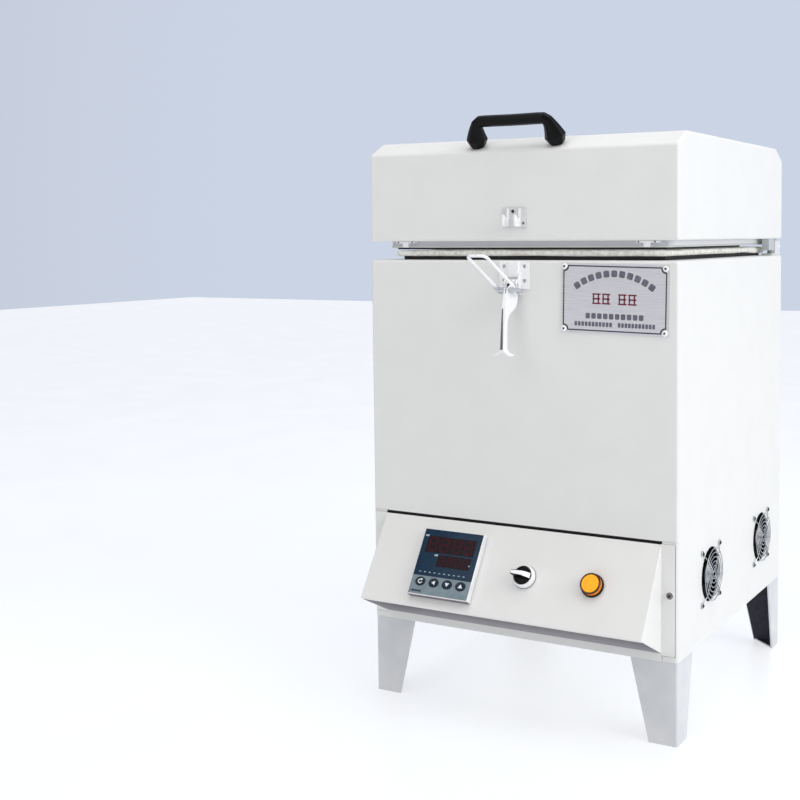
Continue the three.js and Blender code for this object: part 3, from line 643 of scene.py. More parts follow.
def make_legs():
    """Four folded legs with a tab on top and a foot pad, and painted shade on their inner faces; three are
    mirrored.
    """
    low, high = span("leg_front_right")
    sheet = 2.5
    middle = DEPTH / 2
    for end, flip_y in (("front", 1), ("rear", -1)):
        for side, flip_x in SIDES:
            name = f"leg_{end}_{side}"
            flip = shift(Y * middle) @ Matrix.Diagonal((flip_x, flip_y, 1, 1)) @ shift(-Y * middle)
            solid = leg_shell(f"{name}_sheet", 0, sheet, 0)
            tab = box("tab", (low.x + 4, low.y + 1, high.z - sheet), (high.x - 1, high.y - 3, high.z))
            corner = [(high.x - 40, low.y + 1), (high.x - 1, low.y + 1), (high.x - 1, low.y + 34)]
            pad = along_z("pad", corner, 0, sheet)
            fuse(solid, rounded(tab, 0.6, 2), rounded(pad, 0.4, 2))
            finish_piece(moved(solid, flip), LEG_PAINT, [name])
            # The dark sheet on each leg's inner faces and pad is painted shade.
            coat = leg_shell(f"{name}_coat", sheet - 0.1, sheet + 0.25, 1.2)
            inner = [(high.x - 36.5, low.y + 2.6), (high.x - 2.6, low.y + 2.6), (high.x - 2.6, low.y + 30.5)]
            coat = gather(f"{name}_coat", [coat, along_z("pad_shade", inner, sheet - 0.1, sheet + 0.25)])
            finish_piece(moved(coat, flip), LEG_SHADE)


# ---- Control box ----
SLOPE_ANGLE = math.atan2(BOX_TOP - BOX_NOSE, BOX_REACH)
ON_SLOPE = shift((0, FRONT, BOX_TOP)) @ spin(SLOPE_ANGLE, "X")


def slope_centre(node):
    """A CAD node's centre in the sloping face's own space: x, up the slope, out of it."""
    return ON_SLOPE.inverted() @ centre_of(node)


def make_gap_shade():
    """A black strip behind the gap between the front panel and the control box: painted shade in that gap."""
    reach = BOX_HALF - 0.5
    strip = box("gap_shade_strip", (-reach, SHEET + 0.4, BOX_TOP - 8), (reach, SHEET + 9, PANEL_BOTTOM + 9))
    finish_piece(rounded(strip, 1.5, 3), SHADE_BLACK)


def make_control_box():
    """The sloping box with its flanges, lower lip and holes, a sheet of painted shade below it, the flange
    screws and a black strip of painted shade behind each flange.
    """
    wedge = along_x("control_box_sheet", [(FRONT, BOX_TOP), (-BOX_REACH, BOX_NOSE), (FRONT, BOX_BACK)],
                    -BOX_HALF, BOX_HALF)
    rounded(wedge, 1.6, 4)
    hollow = along_x("hollow", [(FRONT + 5, BOX_TOP + 1), (-BOX_REACH + 4.2, BOX_NOSE + 1),
                                (FRONT + 5, BOX_BACK - 0.5)], -BOX_HALF + SHEET, BOX_HALF - SHEET)
    cut(wedge, hollow)
    flanges = [
        box("right", (BOX_HALF - 1.5, FRONT - SHEET, BOX_BACK - 2), (FLANGE_X, FRONT, BOX_TOP)),
        box("left", (-FLANGE_X, FRONT - SHEET, BOX_BACK - 2), (-BOX_HALF + 1.5, FRONT, BOX_TOP)),
        box("lip", (-BOX_HALF, FRONT - SHEET, UNDERSIDE), (BOX_HALF, FRONT, BOX_BACK + 1.5)),
    ]
    fuse(wedge, *[rounded(flange, 0.7, 2) for flange in flanges])
    controller = slope_centre("controller_face")
    holes = [moved(box("hole", (controller.x - 45, -113, -8), (controller.x + 45, -22, 8)), ON_SLOPE)]
    for node in ("selector_bezel", "lamp_base"):
        centre = slope_centre(node)
        holes.append(moved(bar("hole", (centre.x, centre.y, -8), (centre.x, centre.y, 8), 11.3), ON_SLOPE))
    cut(wedge, *holes)
    finish_piece(wedge, PAINT, ["control_box"])
    # The sheet below the box is painted shade, darkest under the nose.
    run, drop = BOX_REACH, BOX_NOSE - BOX_BACK
    out = Vector((-drop, -run)).normalized()
    ends = [Vector((-run * (1 - share), BOX_NOSE - drop * share)) for share in (0.075, 0.98)]
    skin = [tuple(p + out * 0.2) for p in ends] + [tuple(p - out * 0.4) for p in reversed(ends)]
    coat = along_x("control_box_underside_shade", skin, 1.0 - BOX_HALF, BOX_HALF - 1.0)
    finish_piece(coat, UNDERSIDE_SHADE)
    screw_x, screw_z, washer_deep = 224.5, 200.8, 0.9
    for side, sign in SIDES:
        place = Vector((sign * screw_x, FRONT - SHEET, screw_z))
        seat = place - Y * washer_deep
        washer = bar(f"flange_washer_{side}", place, seat, 6.2, 36)
        finish_piece(rounded(washer, 0.3, 2), ZINC)
        pan_screw(f"flange_screw_{side}", seat, -Y, 4.7, material=SCREW_STEEL, recess=True)
        # A black strip behind each flange's edge: painted shade in the gap there.
        xs = sorted((sign * BOX_HALF, sign * (FLANGE_X + 0.3)))
        shade_line = box(f"flange_shadow_line_{side}", (xs[0], FRONT, BOX_BACK - 2.8), (xs[1], FRONT + 0.25, BOX_TOP))
        finish_piece(rounded(shade_line, 0.1, 1), SHADE_BLACK)


# ---- Controller ----
SEGMENTS = (  # a digit's seven segments: x and y in halves of its width and height, and whether it is level
    (0, 1, True), (0, 0, True), (0, -1, True),
    (-1, 0.5, False), (1, 0.5, False), (-1, -0.5, False), (1, -0.5, False),
)


def digit_bars(x, y, width, height, stroke, slant=0.04):
    """A digit's seven segments, each a thin six-sided bar."""
    bars = []
    for u, v, level in SEGMENTS:
        long = (width if level else height / 2) / 2 - 0.15
        half = stroke / 2
        outline = [(-long, 0), (-long + half, half), (long - half, half), (long, 0),
                   (long - half, -half), (-long + half, -half)]
        if not level:
            outline = [(-b, a) for a, b in outline]
        cx, cy = x + u * width / 2, y + v * height / 2
        points = [(cx + a + slant * (cy + b - y), cy + b) for a, b in outline]
        bars.append(points)
    return bars


def printed(name, outlines, level, thickness, material, body="cabinet", on=ON_SLOPE):
    """Flat marks, each a thin plate that stands on a surface."""
    plates = [along_z("mark", points, level, level + thickness) for points in outlines]
    return finish_piece(moved(gather(name, plates), on), material, body=body)


KEY_HALF_X, KEY_HALF_Y = 7.8, 6.2


def oval_cutter(centre, play, low, high):
    """A cutter the shape of an oval key, in the sloping face's own space."""
    outline = [(centre.x + x, centre.y + y * (KEY_HALF_Y + play) / (KEY_HALF_X + play))
               for x, y in arc((0, 0), KEY_HALF_X + play, 0, 360, 48)[:-1]]
    return along_z("oval", outline, low, high)


def make_controller():
    """The 96 mm controller: case, dark window, keypad, unlit digits, small marks and four keys."""
    low, high = span("controller_housing")
    middle_x, middle_y, half, proud = (low.x + high.x) / 2, -67, 48.0, 10.0
    window, edge = 46.6, 46.4  # half the case's opening, and half of what fills it
    split = middle_y + 48 - 0.71 * 96  # between the window and the keypad

    def slab(name, corner, far):
        """A box between two corners of the sloping face, measured from the controller's middle."""
        (x0, y0, z0), (x1, y1, z1) = corner, far
        return box(name, (middle_x + x0, middle_y + y0, z0), (middle_x + x1, middle_y + y1, z1))

    bezel = rounded(slab("controller_case", (-half, -half, -FRONT), (half, half, proud)), 1.4, 4)
    well = slab("well", (-window, -window, proud - 2), (window, window, proud + 5))
    cut(bezel, rounded(well, 0.8, 3))
    fuse(bezel, slab("back", (-45.5, -45.5, -55), (45.5, 45.5, 2)))
    keys = [slope_centre(f"key_{name}") for name in ("set", "left", "down", "up")]
    cut(bezel, *[oval_cutter(k, 0.6, 5.8, 20) for k in keys])
    finish_piece(moved(bezel, ON_SLOPE), WHITE_PLASTIC, ["controller_housing"])
    # A mauve strip over the case's lower side face: painted shade there.
    strip = slab("controller_bezel_shade", (0.4 - half, -0.3 - half, 0.1), (half - 0.4, 0.4 - half, proud - 1.2))
    finish_piece(moved(rounded(strip, 0.15, 2), ON_SLOPE), MAUVE)
    glass = slab("controller_window", (-edge, split - middle_y, proud - 1.8), (edge, edge, proud - 0.2))
    finish_piece(moved(rounded(glass, 0.5, 3), ON_SLOPE), NAVY, ["controller_face"])
    top = split - 0.2 - middle_y
    keypad = slab("controller_keypad", (-edge, -edge, proud - 1.8), (edge, top, proud - 0.3))
    cut(rounded(keypad, 0.4, 3), *[oval_cutter(k, 0.25, 5.8, 20) for k in keys])
    finish_piece(moved(keypad, ON_SLOPE), KEYPAD)

    level, margin_x, margin_y = proud - 0.2, 4, 2.6
    rows = [  # middle of the first digit, pitch, width, height, stroke
        (middle_x - 28.5, middle_y + 25.2, 19.2, 11.6, 18.4, 3.6),
        (middle_x - 7.2, middle_y + 2.6, 12.4, 7.2, 11.6, 2.4),
    ]
    for number, (x, y, pitch, width, height, stroke) in enumerate(rows):
        backing = rect(x + 1.5 * pitch, y, 1.5 * pitch + width / 2 + margin_x, height / 2 + margin_y)
        printed(f"display_backing_{number}", [backing], level - 0.02, 0.06, BACKING)
        bars = []
        for i in range(4):
            bars += digit_bars(x + i * pitch, y, width, height, stroke)
        printed(f"display_digits_{number}", bars, level + 0.02, 0.08, DIGIT)
    marks = [rect(middle_x - 36.5 + i * 7.7, middle_y - 15, 1.5, 0.6) for i in range(10)]
    marks += [rect(middle_x + x, middle_y + y, 2.8, 1.3) for x, y in ((-41, 37), (-18.5, 10))]
    marks.append(arc((middle_x + 36.5, middle_y + 0.5), 1.1, 0, 330, 11))
    printed("display_marks", marks, level, 0.08, WHITE_INK)
    bar_mark = rect(middle_x - 35, middle_y - 42.3, 8, 1.3)
    printed("keypad_mark", [bar_mark], proud - 0.3, 0.06, DARK_INK)
    make_keys()


def key_symbols():
    """The white symbol on each key, as outlines about its centre."""
    loop = arc((0, 0), 3.4, 70, 350, 14) + list(reversed(arc((0, 0), 2.2, 70, 350, 14)))
    arrow = [(1.0, 4.9), (1.0, 0.9), (3.8, 2.9)]
    left = [(-3.2, 0), (2.2, 3.0), (2.2, -3.0)]
    down = [(0, -3.2), (3.4, 2.2), (-3.4, 2.2)]
    up = [(0, 3.2), (-3.4, -2.2), (3.4, -2.2)]
    return {"set": [loop, arrow], "left": [left], "down": [down], "up": [up]}


def make_keys():
    """Oval keys with dished tops and white symbols; each rides on its own body."""
    for name, outlines in key_symbols().items():
        centre = slope_centre(f"key_{name}")
        profile = [(0, -1.8), (7.7, -1.8), (7.7, 1.1), (7.4, 1.6), (6.8, 1.75), (4.8, 1.45), (0, 1.3)]
        cap = turned(f"key_cap_{name}", profile, 64)
        moved(cap, Matrix.Diagonal((1, KEY_HALF_Y / KEY_HALF_X, 1, 1)))
        here = ON_SLOPE @ shift(centre)
        finish_piece(moved(cap, here), KEY_CAP, [f"key_{name}"], angle=50, body=f"{name}_key")
        printed(f"key_symbol_{name}", outlines, 1.25, 0.3, KEY_INK, on=here, body=f"{name}_key")


# ---- Selector and lamp ----
def make_selector():
    """The two-position selector: its ring and gasket, the pointed grip and the white stripe along it."""
    centre = ON_SLOPE.inverted() @ joint_at("selector_turn")
    here = ON_SLOPE @ shift((centre.x, centre.y, 0))
    seat = -FRONT
    bezel = turned("selector_ring", [
        (0, -32), (10.8, -32), (10.8, seat), (15.4, seat), (15.6, 1.2), (15.6, 3.4), (15.4, 4.4), (14.7, 8.0),
        (14.2, 9.2), (13.5, 9.6), (12.9, 9.3), (12.6, 8.6), (12.6, 3), (0, 3)], 72)
    finish_piece(moved(bezel, here), BRIGHT, ["selector_bezel"])
    foot = turned("selector_gasket", [(15.0, seat), (16.0, seat), (16.0, 0.9), (15.0, 0.9), (15.0, seat)], 72)
    finish_piece(moved(foot, here), MAUVE)
    disc = turned("selector_handle", [
        (0, 3.4), (12.1, 3.4), (12.1, 10.2), (11.8, 11.0), (11.0, 11.4), (0, 11.5)], 64)
    side = [(-14.4, 10.4), (12.0, 10.4), (12.0, 11.6), (9.6, 14.0), (4.6, 19.4), (3.0, 20.2),
            (-13.0, 20.2), (-14.4, 18.9)]
    grip = along_y("grip", side, -3.7, 3.7)
    pointed = along_z("pointed", [(-14.6, 0), (-13.0, 2.9), (-9.0, 3.5), (2, 3.8), (12.4, 3.8),
                                  (12.4, -3.8), (2, -3.8), (-9.0, -3.5), (-13.0, -2.9)], 5, 25)
    fuse(disc, rounded(keep(grip, pointed), 0.5, 2))
    finish_piece(moved(disc, here), GRIP_BLACK, ["selector_knob"], body="selector")
    lift, sunk = 0.35, 0.3  # of the stripe's faces, above and below the grip's
    upper = [(-13.4, 20.2), (3.2, 20.2), (5.0, 19.3), (9.8, 14.1), (12.1, 11.7)]
    strip = [(x, z + lift) for x, z in upper] + [(x, z - sunk) for x, z in reversed(upper)]
    stripe = keep(along_y("selector_stripe", strip, -4, 4), along_z("shape", [
        (-13.2, 0), (-12.2, 1.9), (-9.0, 2.4), (2, 2.8), (12.0, 3.3), (12.6, 3.3), (12.6, -3.3), (12.0, -3.3),
        (2, -2.8), (-9.0, -2.4), (-12.2, -1.9)], 5, 25))
    finish_piece(moved(stripe, here), WHITE_METAL, body="selector")


def make_lamp():
    """The indicator lamp: a black ring, a ribbed amber cap, a darker rim and a studded top."""
    centre = slope_centre("lamp_lens")
    here = ON_SLOPE @ shift((centre.x, centre.y, 0))
    seat = -FRONT
    base = turned("lamp_ring", [
        (0, -36), (10.8, -36), (10.8, seat), (15.6, seat), (15.8, 1), (15.8, 2.8), (15.4, 3.6), (14.8, 3.8),
        (14.5, 3.4), (14.5, 2), (0, 2)], 72)
    finish_piece(moved(base, here), GRIP_BLACK, ["lamp_base"])
    lens = turned("lamp_cap", [(0, 2.3), (14.0, 2.3), (14.0, 8.6), (13.6, 9.4), (0, 9.4)], 72)
    count = 36
    ribs = [moved(bar("rib", (14.1, 0, 4.4), (14.1, 0, 8.4), 0.5, 8), spin(2 * math.pi * i / count, "Z"))
            for i in range(count)]
    cut(lens, gather("ribs", ribs))
    finish_piece(moved(lens, here), AMBER_SIDE, ["lamp_lens"])
    rim = turned("lamp_rim", [(12.0, 9.0), (14.1, 8.6), (14.4, 9.2), (14.3, 10.2), (13.6, 10.9), (12.6, 11.0),
                              (12.0, 10.6), (12.0, 9.0)], 72)
    finish_piece(moved(rim, here), AMBER_RIM)
    studs, pitch = [], 2.05
    for ring in range(6):
        count = max(1, ring * 6)
        for i in range(count):
            a = 2 * math.pi * i / count
            stud = turned("stud", [(0, 9.2), (1.1, 9.2), (0.8, 10.9), (0, 11.3)], 6)
            studs.append(moved(stud, shift((pitch * ring * math.cos(a), pitch * ring * math.sin(a), 0))))
    top = turned("top", [(0, 9.0), (12.2, 9.0), (12.2, 10.3), (11.8, 10.6), (0, 10.8)], 64)
    finish_piece(moved(gather("lamp_top", [top, *studs]), here), AMBER)


# ---- Rating plate ----
def border_outline(low, high, radius, inset):
    """A rectangle whose corners are scooped out round the corner screws."""
    x0, z0, x1, z1 = low.x + inset, low.z + inset, high.x - inset, high.z - inset
    points = []
    for corner, start in (((x1, z1), 270), ((x0, z1), 0), ((x0, z0), 90), ((x1, z0), 180)):
        points += arc(corner, radius, start, start - 90, 6)
    return points


def block_mark(x, z, width, height, turn=0.0):
    """A block with clipped corners that stands for a character."""
    c, s, clip = math.cos(turn), math.sin(turn), 0.7
    shares = [(-1, -clip), (-clip, -1), (clip, -1), (1, -clip), (1, clip), (clip, 1), (-clip, 1), (-1, clip)]
    corners = [(a * width / 2, b * height / 2) for a, b in shares]
    return [(x + a * c - b * s, z + a * s + b * c) for a, b in corners]


def make_nameplate():
    """The plate with its border, generic marks and screws, taller than its node and askew as photographed."""
    lower_edge_up, upper_edge_up = 1.5, 4.3
    low, high = span("nameplate")
    low, high = low + Z * lower_edge_up, high + Z * upper_edge_up
    face, middle = low.y, (low + high) / 2
    askew = shift(middle) @ spin(math.radians(1.1), "Y") @ shift(-middle)
    plate = rounded(box("rating_plate", low, high), 0.35, 2)
    finish_piece(moved(plate, askew), PLATE, ["nameplate"])
    notch, outer_inset, inner_inset = 6.6, 2.8, 4.5
    line = along_y("rating_border", border_outline(low, high, notch, outer_inset), face - 0.12, face + 0.05)
    cut(line, along_y("inside", border_outline(low, high, notch, inner_inset), face - 1, face + 1))
    finish_piece(moved(line, askew), DARK_INK)

    def plates(name, blocks, material):
        """Blocks given as x and z from the plate's middle, width, height and turn."""
        outlines = [block_mark(middle.x + x, middle.z + z, *rest) for x, z, *rest in blocks]
        marks = [along_y("mark", points, face - 0.10, face + 0.05) for points in outlines]
        finish_piece(moved(gather(name, marks), askew), material)

    radius, drop, count, step = 93, 60, 11, 6.9  # of the arch of marks
    angles = [math.radians((i - (count - 1) / 2) * step) for i in range(count)]
    plates("rating_arch", [(radius * math.sin(a), radius * math.cos(a) - drop, 8.4, 8.8, -a) for a in angles],
           GREY_INK)
    strokes = [(0, 5.8, 12, 2.0), (0, -0.3, 11, 2.0), (0, -6.4, 12.4, 2.0),
               (-4.2, -0.3, 2.0, 11), (2.8, -0.3, 2.2, 12)]
    words = [(x + dx, z, wide, tall) for x in (-24.8, -11, 12, 26) for dx, z, wide, tall in strokes]
    plates("rating_words", words, RED_INK)
    lines = [(-37 + i * 8.4, -23, 6.4, 7.4) for i in range(10)]
    lines += [(-54 + i * 5.0, -33.8, 3.9, 6.0) for i in range(11)]
    lines += [(8 + i * 4.8, -33.8, 3.8, 6.0) for i in range(11)]
    plates("rating_lines", lines, GREY_INK)
    inset = 4.6
    for x in (low.x + inset, high.x - inset):
        for z in (low.z + inset, high.z - inset):
            name = f"plate_screw_{x:.0f}_{z:.0f}"
            pan_screw(name, askew @ Vector((x, face, z)), -Y, 4.0, recess=True)


# ---- Latch ----
def make_latch_base():
    """A plate with a raised middle, two ears for the pin and two columns of rivets."""
    low, high = span("latch_base")
    pivot = joint_at("latch_lever_pivot")
    plate = rounded(box("latch_plate", (low.x, FRONT - 2, 594), (high.x, FRONT, high.z)), 1.2, 3)
    rise = rounded(box("rise", (-8.2, FRONT - 5.2, 610), (8.2, FRONT - 1, high.z - 1)), 1.5, 3)
    ears = []
    for x in (-9.8, 8.4):
        outline = arc((pivot.y, pivot.z), 6, 90, 270, 14)
        outline += [(FRONT - 1, pivot.z - 6), (FRONT - 1, pivot.z + 18)]
        ears.append(rounded(along_x("ear", outline, x, x + 1.4), 0.3, 2))
    fuse(plate, rise, *ears)
    rivets = [(x, z) for x in (-15.5, 15.5) for z in (605.5, 625)]
    holes = [bar("hole", (x, -20, z), (x, 20, z), 2.7, 24) for x, z in rivets]
    cut(plate, bar("pin_hole", (-20, pivot.y, pivot.z), (20, pivot.y, pivot.z), 2.9), *holes)
    finish_piece(plate, ZINC, ["latch_base"])
    for x, z in rivets:
        name = f"latch_rivet_{x:.0f}_{z:.0f}".replace("-", "m")
        pan_screw(name, (x, FRONT, z), -Y, 2.4, material=NUT_ZINC, height=1.4, recess=True)
    head = [(2.5, 10.2), (3.4, 11.2), (3.4, 11.9), (0, 11.9)]
    pin = turned("latch_rivet", [(r, -x) for r, x in reversed(head)] + head, 40)
    finish_piece(moved(pin, shift((0, pivot.y, pivot.z)) @ spin(QUARTER, "Y")), ZINC, ["latch_pin"])


LEVER_FOOT = 507.0
LEVER_SHAFT, LEVER_SHEET, LEVER_FLARE = 2.5, 1.5, 13.0


def smoothed(points, steps=5):
    """A Catmull-Rom curve through open points."""
    out = []
    for i in range(len(points) - 1):
        p0, p1 = points[max(i - 1, 0)], points[i]
        p2, p3 = points[i + 1], points[min(i + 2, len(points) - 1)]
        for k in range(steps):
            t = k / steps
            weights = (-t + 2 * t ** 2 - t ** 3, 2 - 5 * t ** 2 + 3 * t ** 3,
                       t + 4 * t ** 2 - 3 * t ** 3, t ** 3 - t ** 2)
            near = list(zip(weights, (p0, p1, p2, p3)))
            out.append(tuple(sum(w * p[n] for w, p in near) / 2 for n in range(len(p1))))
    return out + [points[-1]]


LEVER_STATIONS = [  # height, front and back of the lever there, half its width at the back
    (511, -39.6, -28, 2.6), (530, -37.8, -27.8, 2.6), (548, -35.8, -27.3, 2.8), (556, -35.1, -25.4, 3.2),
    (561, -34.4, -22.4, 3.8), (565, -33.8, -17, 4.8), (569.4, -33.0, -10.4, 6.2), (577, -31.4, -7.6, 7.5),
    (587, -29.2, -7.5, 8), (594, -27.0, -5.2, 8), (600.6, -24.6, -3.5, 8), (603.6, -19, -4.0, 8),
    (607.4, -13.4, -6.5, 8)]
LEVER_WING = [(LEVER_FLARE, LEVER_FOOT + 0.2), (9.5, LEVER_FOOT + 1.6), (5.5, LEVER_FOOT + 3.6),
              (3.1, LEVER_FOOT + 7), (LEVER_SHAFT, LEVER_FOOT + 12)]


def leaf_outline(sign):
    """One flared wing of the lever's foot seen from the front, as (x, z) points."""
    path = smoothed(LEVER_WING)
    inner = []
    for i, (x, z) in enumerate(path):
        before, after = path[max(i - 1, 0)], path[min(i + 1, len(path) - 1)]
        way = Vector((after[0] - before[0], after[1] - before[1])).normalized()
        inner.append((x - way.y * LEVER_SHEET, z + way.x * LEVER_SHEET))
    return [(sign * x, z) for x, z in path + list(reversed(inner))]


def lever_shaft():
    """A narrow front fold whose two sides spread backwards, closed in front and open behind."""
    front, sheet = LEVER_SHAFT, LEVER_SHEET
    bm = bmesh.new()
    rings = []
    for z, near, far, half in smoothed(LEVER_STATIONS, 4):
        section = [(-half, far), (-front, near), (front, near), (half, far), (half - sheet, far),
                   (front - sheet, near + sheet), (sheet - front, near + sheet), (sheet - half, far)]
        rings.append([bm.verts.new((x, y, z)) for x, y in section])
    join_rings(bm, rings)
    for corners in ((0, 1, 6, 7), (1, 2, 5, 6), (2, 3, 4, 5)):
        bm.faces.new([rings[0][i] for i in corners])
        bm.faces.new([rings[-1][i] for i in corners])
    return object_of("latch_handle", bm)


def make_lever():
    """One folded sheet: a narrow handle whose sides spread back into cheeks and flare apart at the foot."""
    pivot, trunnion = joint_at("latch_lever_pivot"), joint_at("latch_bail_swing")
    shaft = lever_shaft()
    low, high = LEVER_FOOT - 1, LEVER_FOOT + 6
    foot = along_x("foot", [(-40.4, low), (-39.4, high), (-28, high), (-28, low)], -20, 20)
    wings = [along_y("wing", leaf_outline(sign), -50, 5) for sign in (-1, 1)]
    fuse(shaft, *[keep(wing, copy_of(foot, "foot")) for wing in wings])
    bpy.data.objects.remove(foot)
    cut(shaft, along_y("notch", [(0, 588), (6.4, 612), (-6.4, 612)], -50, -14),
        bar("hole", (-20, pivot.y, pivot.z), (20, pivot.y, pivot.z), 2.9),
        bar("hole", (-20, trunnion.y, trunnion.z), (20, trunnion.y, trunnion.z), 3.8))
    finish_piece(shaft, ZINC, ["latch_lever"], body="lever")
    # A darker strip over the handle's front face: painted shade there.
    near = [(y - 0.2, z) for z, y, _, _ in smoothed(LEVER_STATIONS, 4) if 513 < z < 570]
    outline = near + [(y + 0.6, z) for y, z in reversed(near)]
    face = along_x("latch_front_shade", outline, 0.2 - LEVER_SHAFT, LEVER_SHAFT)
    cut(face, along_y("slant", [(1.6, 512), (-0.7, 571), (5, 571), (5, 512)], -50, -20))
    finish_piece(face, ZINC_FRONT_SHADE, body="lever")
    # A dark plate inside the head, seen through the notch: painted shade in the channel.
    notch_shade = rounded(box("latch_notch_shadow", (-4.6, -16.6, 588.5), (4.6, -15.6, 602)), 0.3, 2)
    finish_piece(notch_shade, SHADE_BLACK, body="lever")


def copy_of(piece, name):
    """A second object with the same shape."""
    copy = bpy.data.objects.new(name, piece.data.copy())
    bpy.context.scene.collection.objects.link(copy)
    return copy


def make_bail():
    """The bent wire, its threaded ends, the cross bar and the four nuts."""
    trunnion = joint_at("latch_bail_swing")
    length, half, radius, corner, tail = 97.0, 14.0, 2.0, 7.0, 12.0
    lean = math.radians(61.2)
    here = shift(trunnion) @ spin(lean, "X")
    start, top = -tail, length
    steps, bend = 20, top - corner
    path = [(-half, 0, start + (bend - start) * i / steps) for i in range(steps)]
    path += [(x, 0, z) for x, z in arc((-half + corner, bend), corner, 180, 90, 8)]
    path += [(x, 0, z) for x, z in arc((half - corner, bend), corner, 90, 0, 8)]
    path += [(half, 0, bend - (bend - start) * (i + 1) / steps) for i in range(steps)]
    loop = wire("latch_wire", path, radius, sides=20)
    finish_piece(moved(loop, here), ZINC, ["latch_bail"], body="bail")
    end, neck = half + 3, half + 2.4
    cross = turned("latch_cross_bar", [
        (0, -end), (3.0, -end), (3.5, -neck), (3.5, neck), (3.0, end), (0, end)], 32)
    finish_piece(moved(cross, here @ spin(QUARTER, "Y")), NUT_ZINC, body="bail")
    for side, x in (("left", -half), ("right", half)):
        thread = []
        turns, steps, crest, pitch = 13, 12, 2.05, 1.8
        for i in range(turns * steps):
            angle = 2 * math.pi * i / steps
            rise = start + 0.4 + i * pitch / steps
            thread.append((x + crest * math.cos(angle), crest * math.sin(angle), rise))
        helix = wire(f"latch_thread_{side}", thread, 0.32, sides=6)
        finish_piece(moved(helix, here), NUT_ZINC, body="bail")
        for end, z in (("upper", 3.7), ("lower", -7.9)):
            nut = along_z(f"latch_nut_{side}_{end}", arc((x, 0), 3.85, 0, 360, 6)[:-1], z, z + 4.2)
            finish_piece(moved(rounded(nut, 0.45, 2), here), NUT_ZINC, body="bail")


def make_keeper():
    """A plate with two hooked ears that open upwards."""
    low, high = span("latch_keeper")
    face = FRONT - 2
    plate = rounded(box("keeper_plate", (low.x, face, low.z), (high.x, FRONT, high.z)), 0.9, 3)
    outline = [(FRONT - 1, 678.6), (-16, 678.4), (-17.6, 679.4), (-18, 681), (-18, 692.6), (-17.3, 694.3),
               (-15.7, 694.4), (-9.6, 689.6), (-8.2, 689), (-5.6, 689), (-4.5, 690.2), (-3.8, 701.6),
               (-2.9, 703), (FRONT - 1, 703)]
    ears = [rounded(along_x("ear", outline, x, x + 3), 0.5, 2, angle=50) for x in (-10.5, 7.5)]
    finish_piece(plate, LIP_STEEL, ["latch_keeper"], body="lid")
    finish_piece(gather("keeper_ears", ears), ZINC, body="lid")
    for end, x, z, radius, material, height in (
            ("upper", -1.5, 699, 2.3, DARK_STEEL, 0.9), ("lower", 14.4, 683, 1.8, SCREW_STEEL, 0.8)):
        pan_screw(f"keeper_screw_{end}", (x, face, z), -Y, radius, material=material, body="lid", height=height)


# ---- Fans ----
FAN_HOLE = 35.75  # from the fan's middle to each screw, across and up
FAN_CORNERS = [(y, z) for y in (-FAN_HOLE, FAN_HOLE) for z in (-FAN_HOLE, FAN_HOLE)]


def fan_frame(name, place):
    low, high = span(name)
    half = (high.z - low.z) / 2
    deep = high.x - low.x
    shell = box(f"{name}_body", (-deep, -half, -half), (0, half, half))
    rounded(shell, 3.0, 4)
    back = -deep - 1
    duct = turned("duct", [(0, back), (38.4, back), (37.4, -deep + 5), (37.2, -6), (38.4, 1), (0, 1)], 72)
    cut(shell, moved(duct, spin(QUARTER, "Y")))
    spider = [bar("hub", (-deep, 0, 0), (-deep + 2.6, 0, 0), 17, 40)]
    for i in range(4):
        arm = box("arm", (-deep, 0, -2.2), (-deep + 2.6, 39, 2.2))
        spider.append(moved(arm, spin(QUARTER * i, "X")))
    fuse(shell, *spider)
    cut(shell, *[bar("hole", (back, y, z), (1, y, z), 2.2, 16) for y, z in FAN_CORNERS])
    return finish_piece(moved(shell, shift(place)), GRIP_BLACK, [name])


def fan_blade(angle):
    """One twisted, swept blade from the hub to the tip."""
    bm = bmesh.new()
    rows, columns = 7, 6
    grid = []
    for i in range(rows):
        share = i / (rows - 1)
        radius = 15.2 + share * 20.0
        pitch = math.radians(52 - 24 * share)
        chord = 15 + 9 * share
        line = []
        for j in range(columns):
            s = (j / (columns - 1) - 0.5) * chord
            camber = 1.6 * (1 - (2 * s / chord) ** 2)
            x = -11.2 + s * math.cos(pitch) * 0.82 + camber * math.sin(pitch)
            around = s * math.sin(pitch) - camber * math.cos(pitch) + 4.0 * share * share
            turn = angle + around / radius
            line.append(bm.verts.new((x, radius * math.cos(turn), radius * math.sin(turn))))
        grid.append(line)
    for i in range(rows - 1):
        for j in range(columns - 1):
            bm.faces.new((grid[i][j], grid[i][j + 1], grid[i + 1][j + 1], grid[i + 1][j]))
    blade = object_of("blade", bm)
    step = blade.modifiers.new("thick", "SOLIDIFY")
    step.thickness = 1.3
    step.offset = 0
    return settle(blade)


def fan_rotor(name, body, place):
    here = shift(place)
    hub = turned(f"{name}_wheel", [
        (0, -21), (15.2, -21), (16, -20.2), (16, -3.2), (15.2, -1.9), (13.6, -1.5), (0, -1.5)], 56)
    moved(hub, spin(QUARTER, "Y"))
    blades = [fan_blade(2 * math.pi * i / 7) for i in range(7)]
    wheel = gather(f"{name}_wheel_all", [hub, *blades])
    finish_piece(moved(wheel, here), GRIP_BLACK, [name], angle=40, body=body)
    label = turned(f"{name}_label", [(0, -1.5), (12.6, -1.5), (12.6, -1.25), (12.3, -1.15), (0, -1.15)], 48)
    moved(label, spin(QUARTER, "Y"))
    finish_piece(moved(label, here), GREY, body=body)


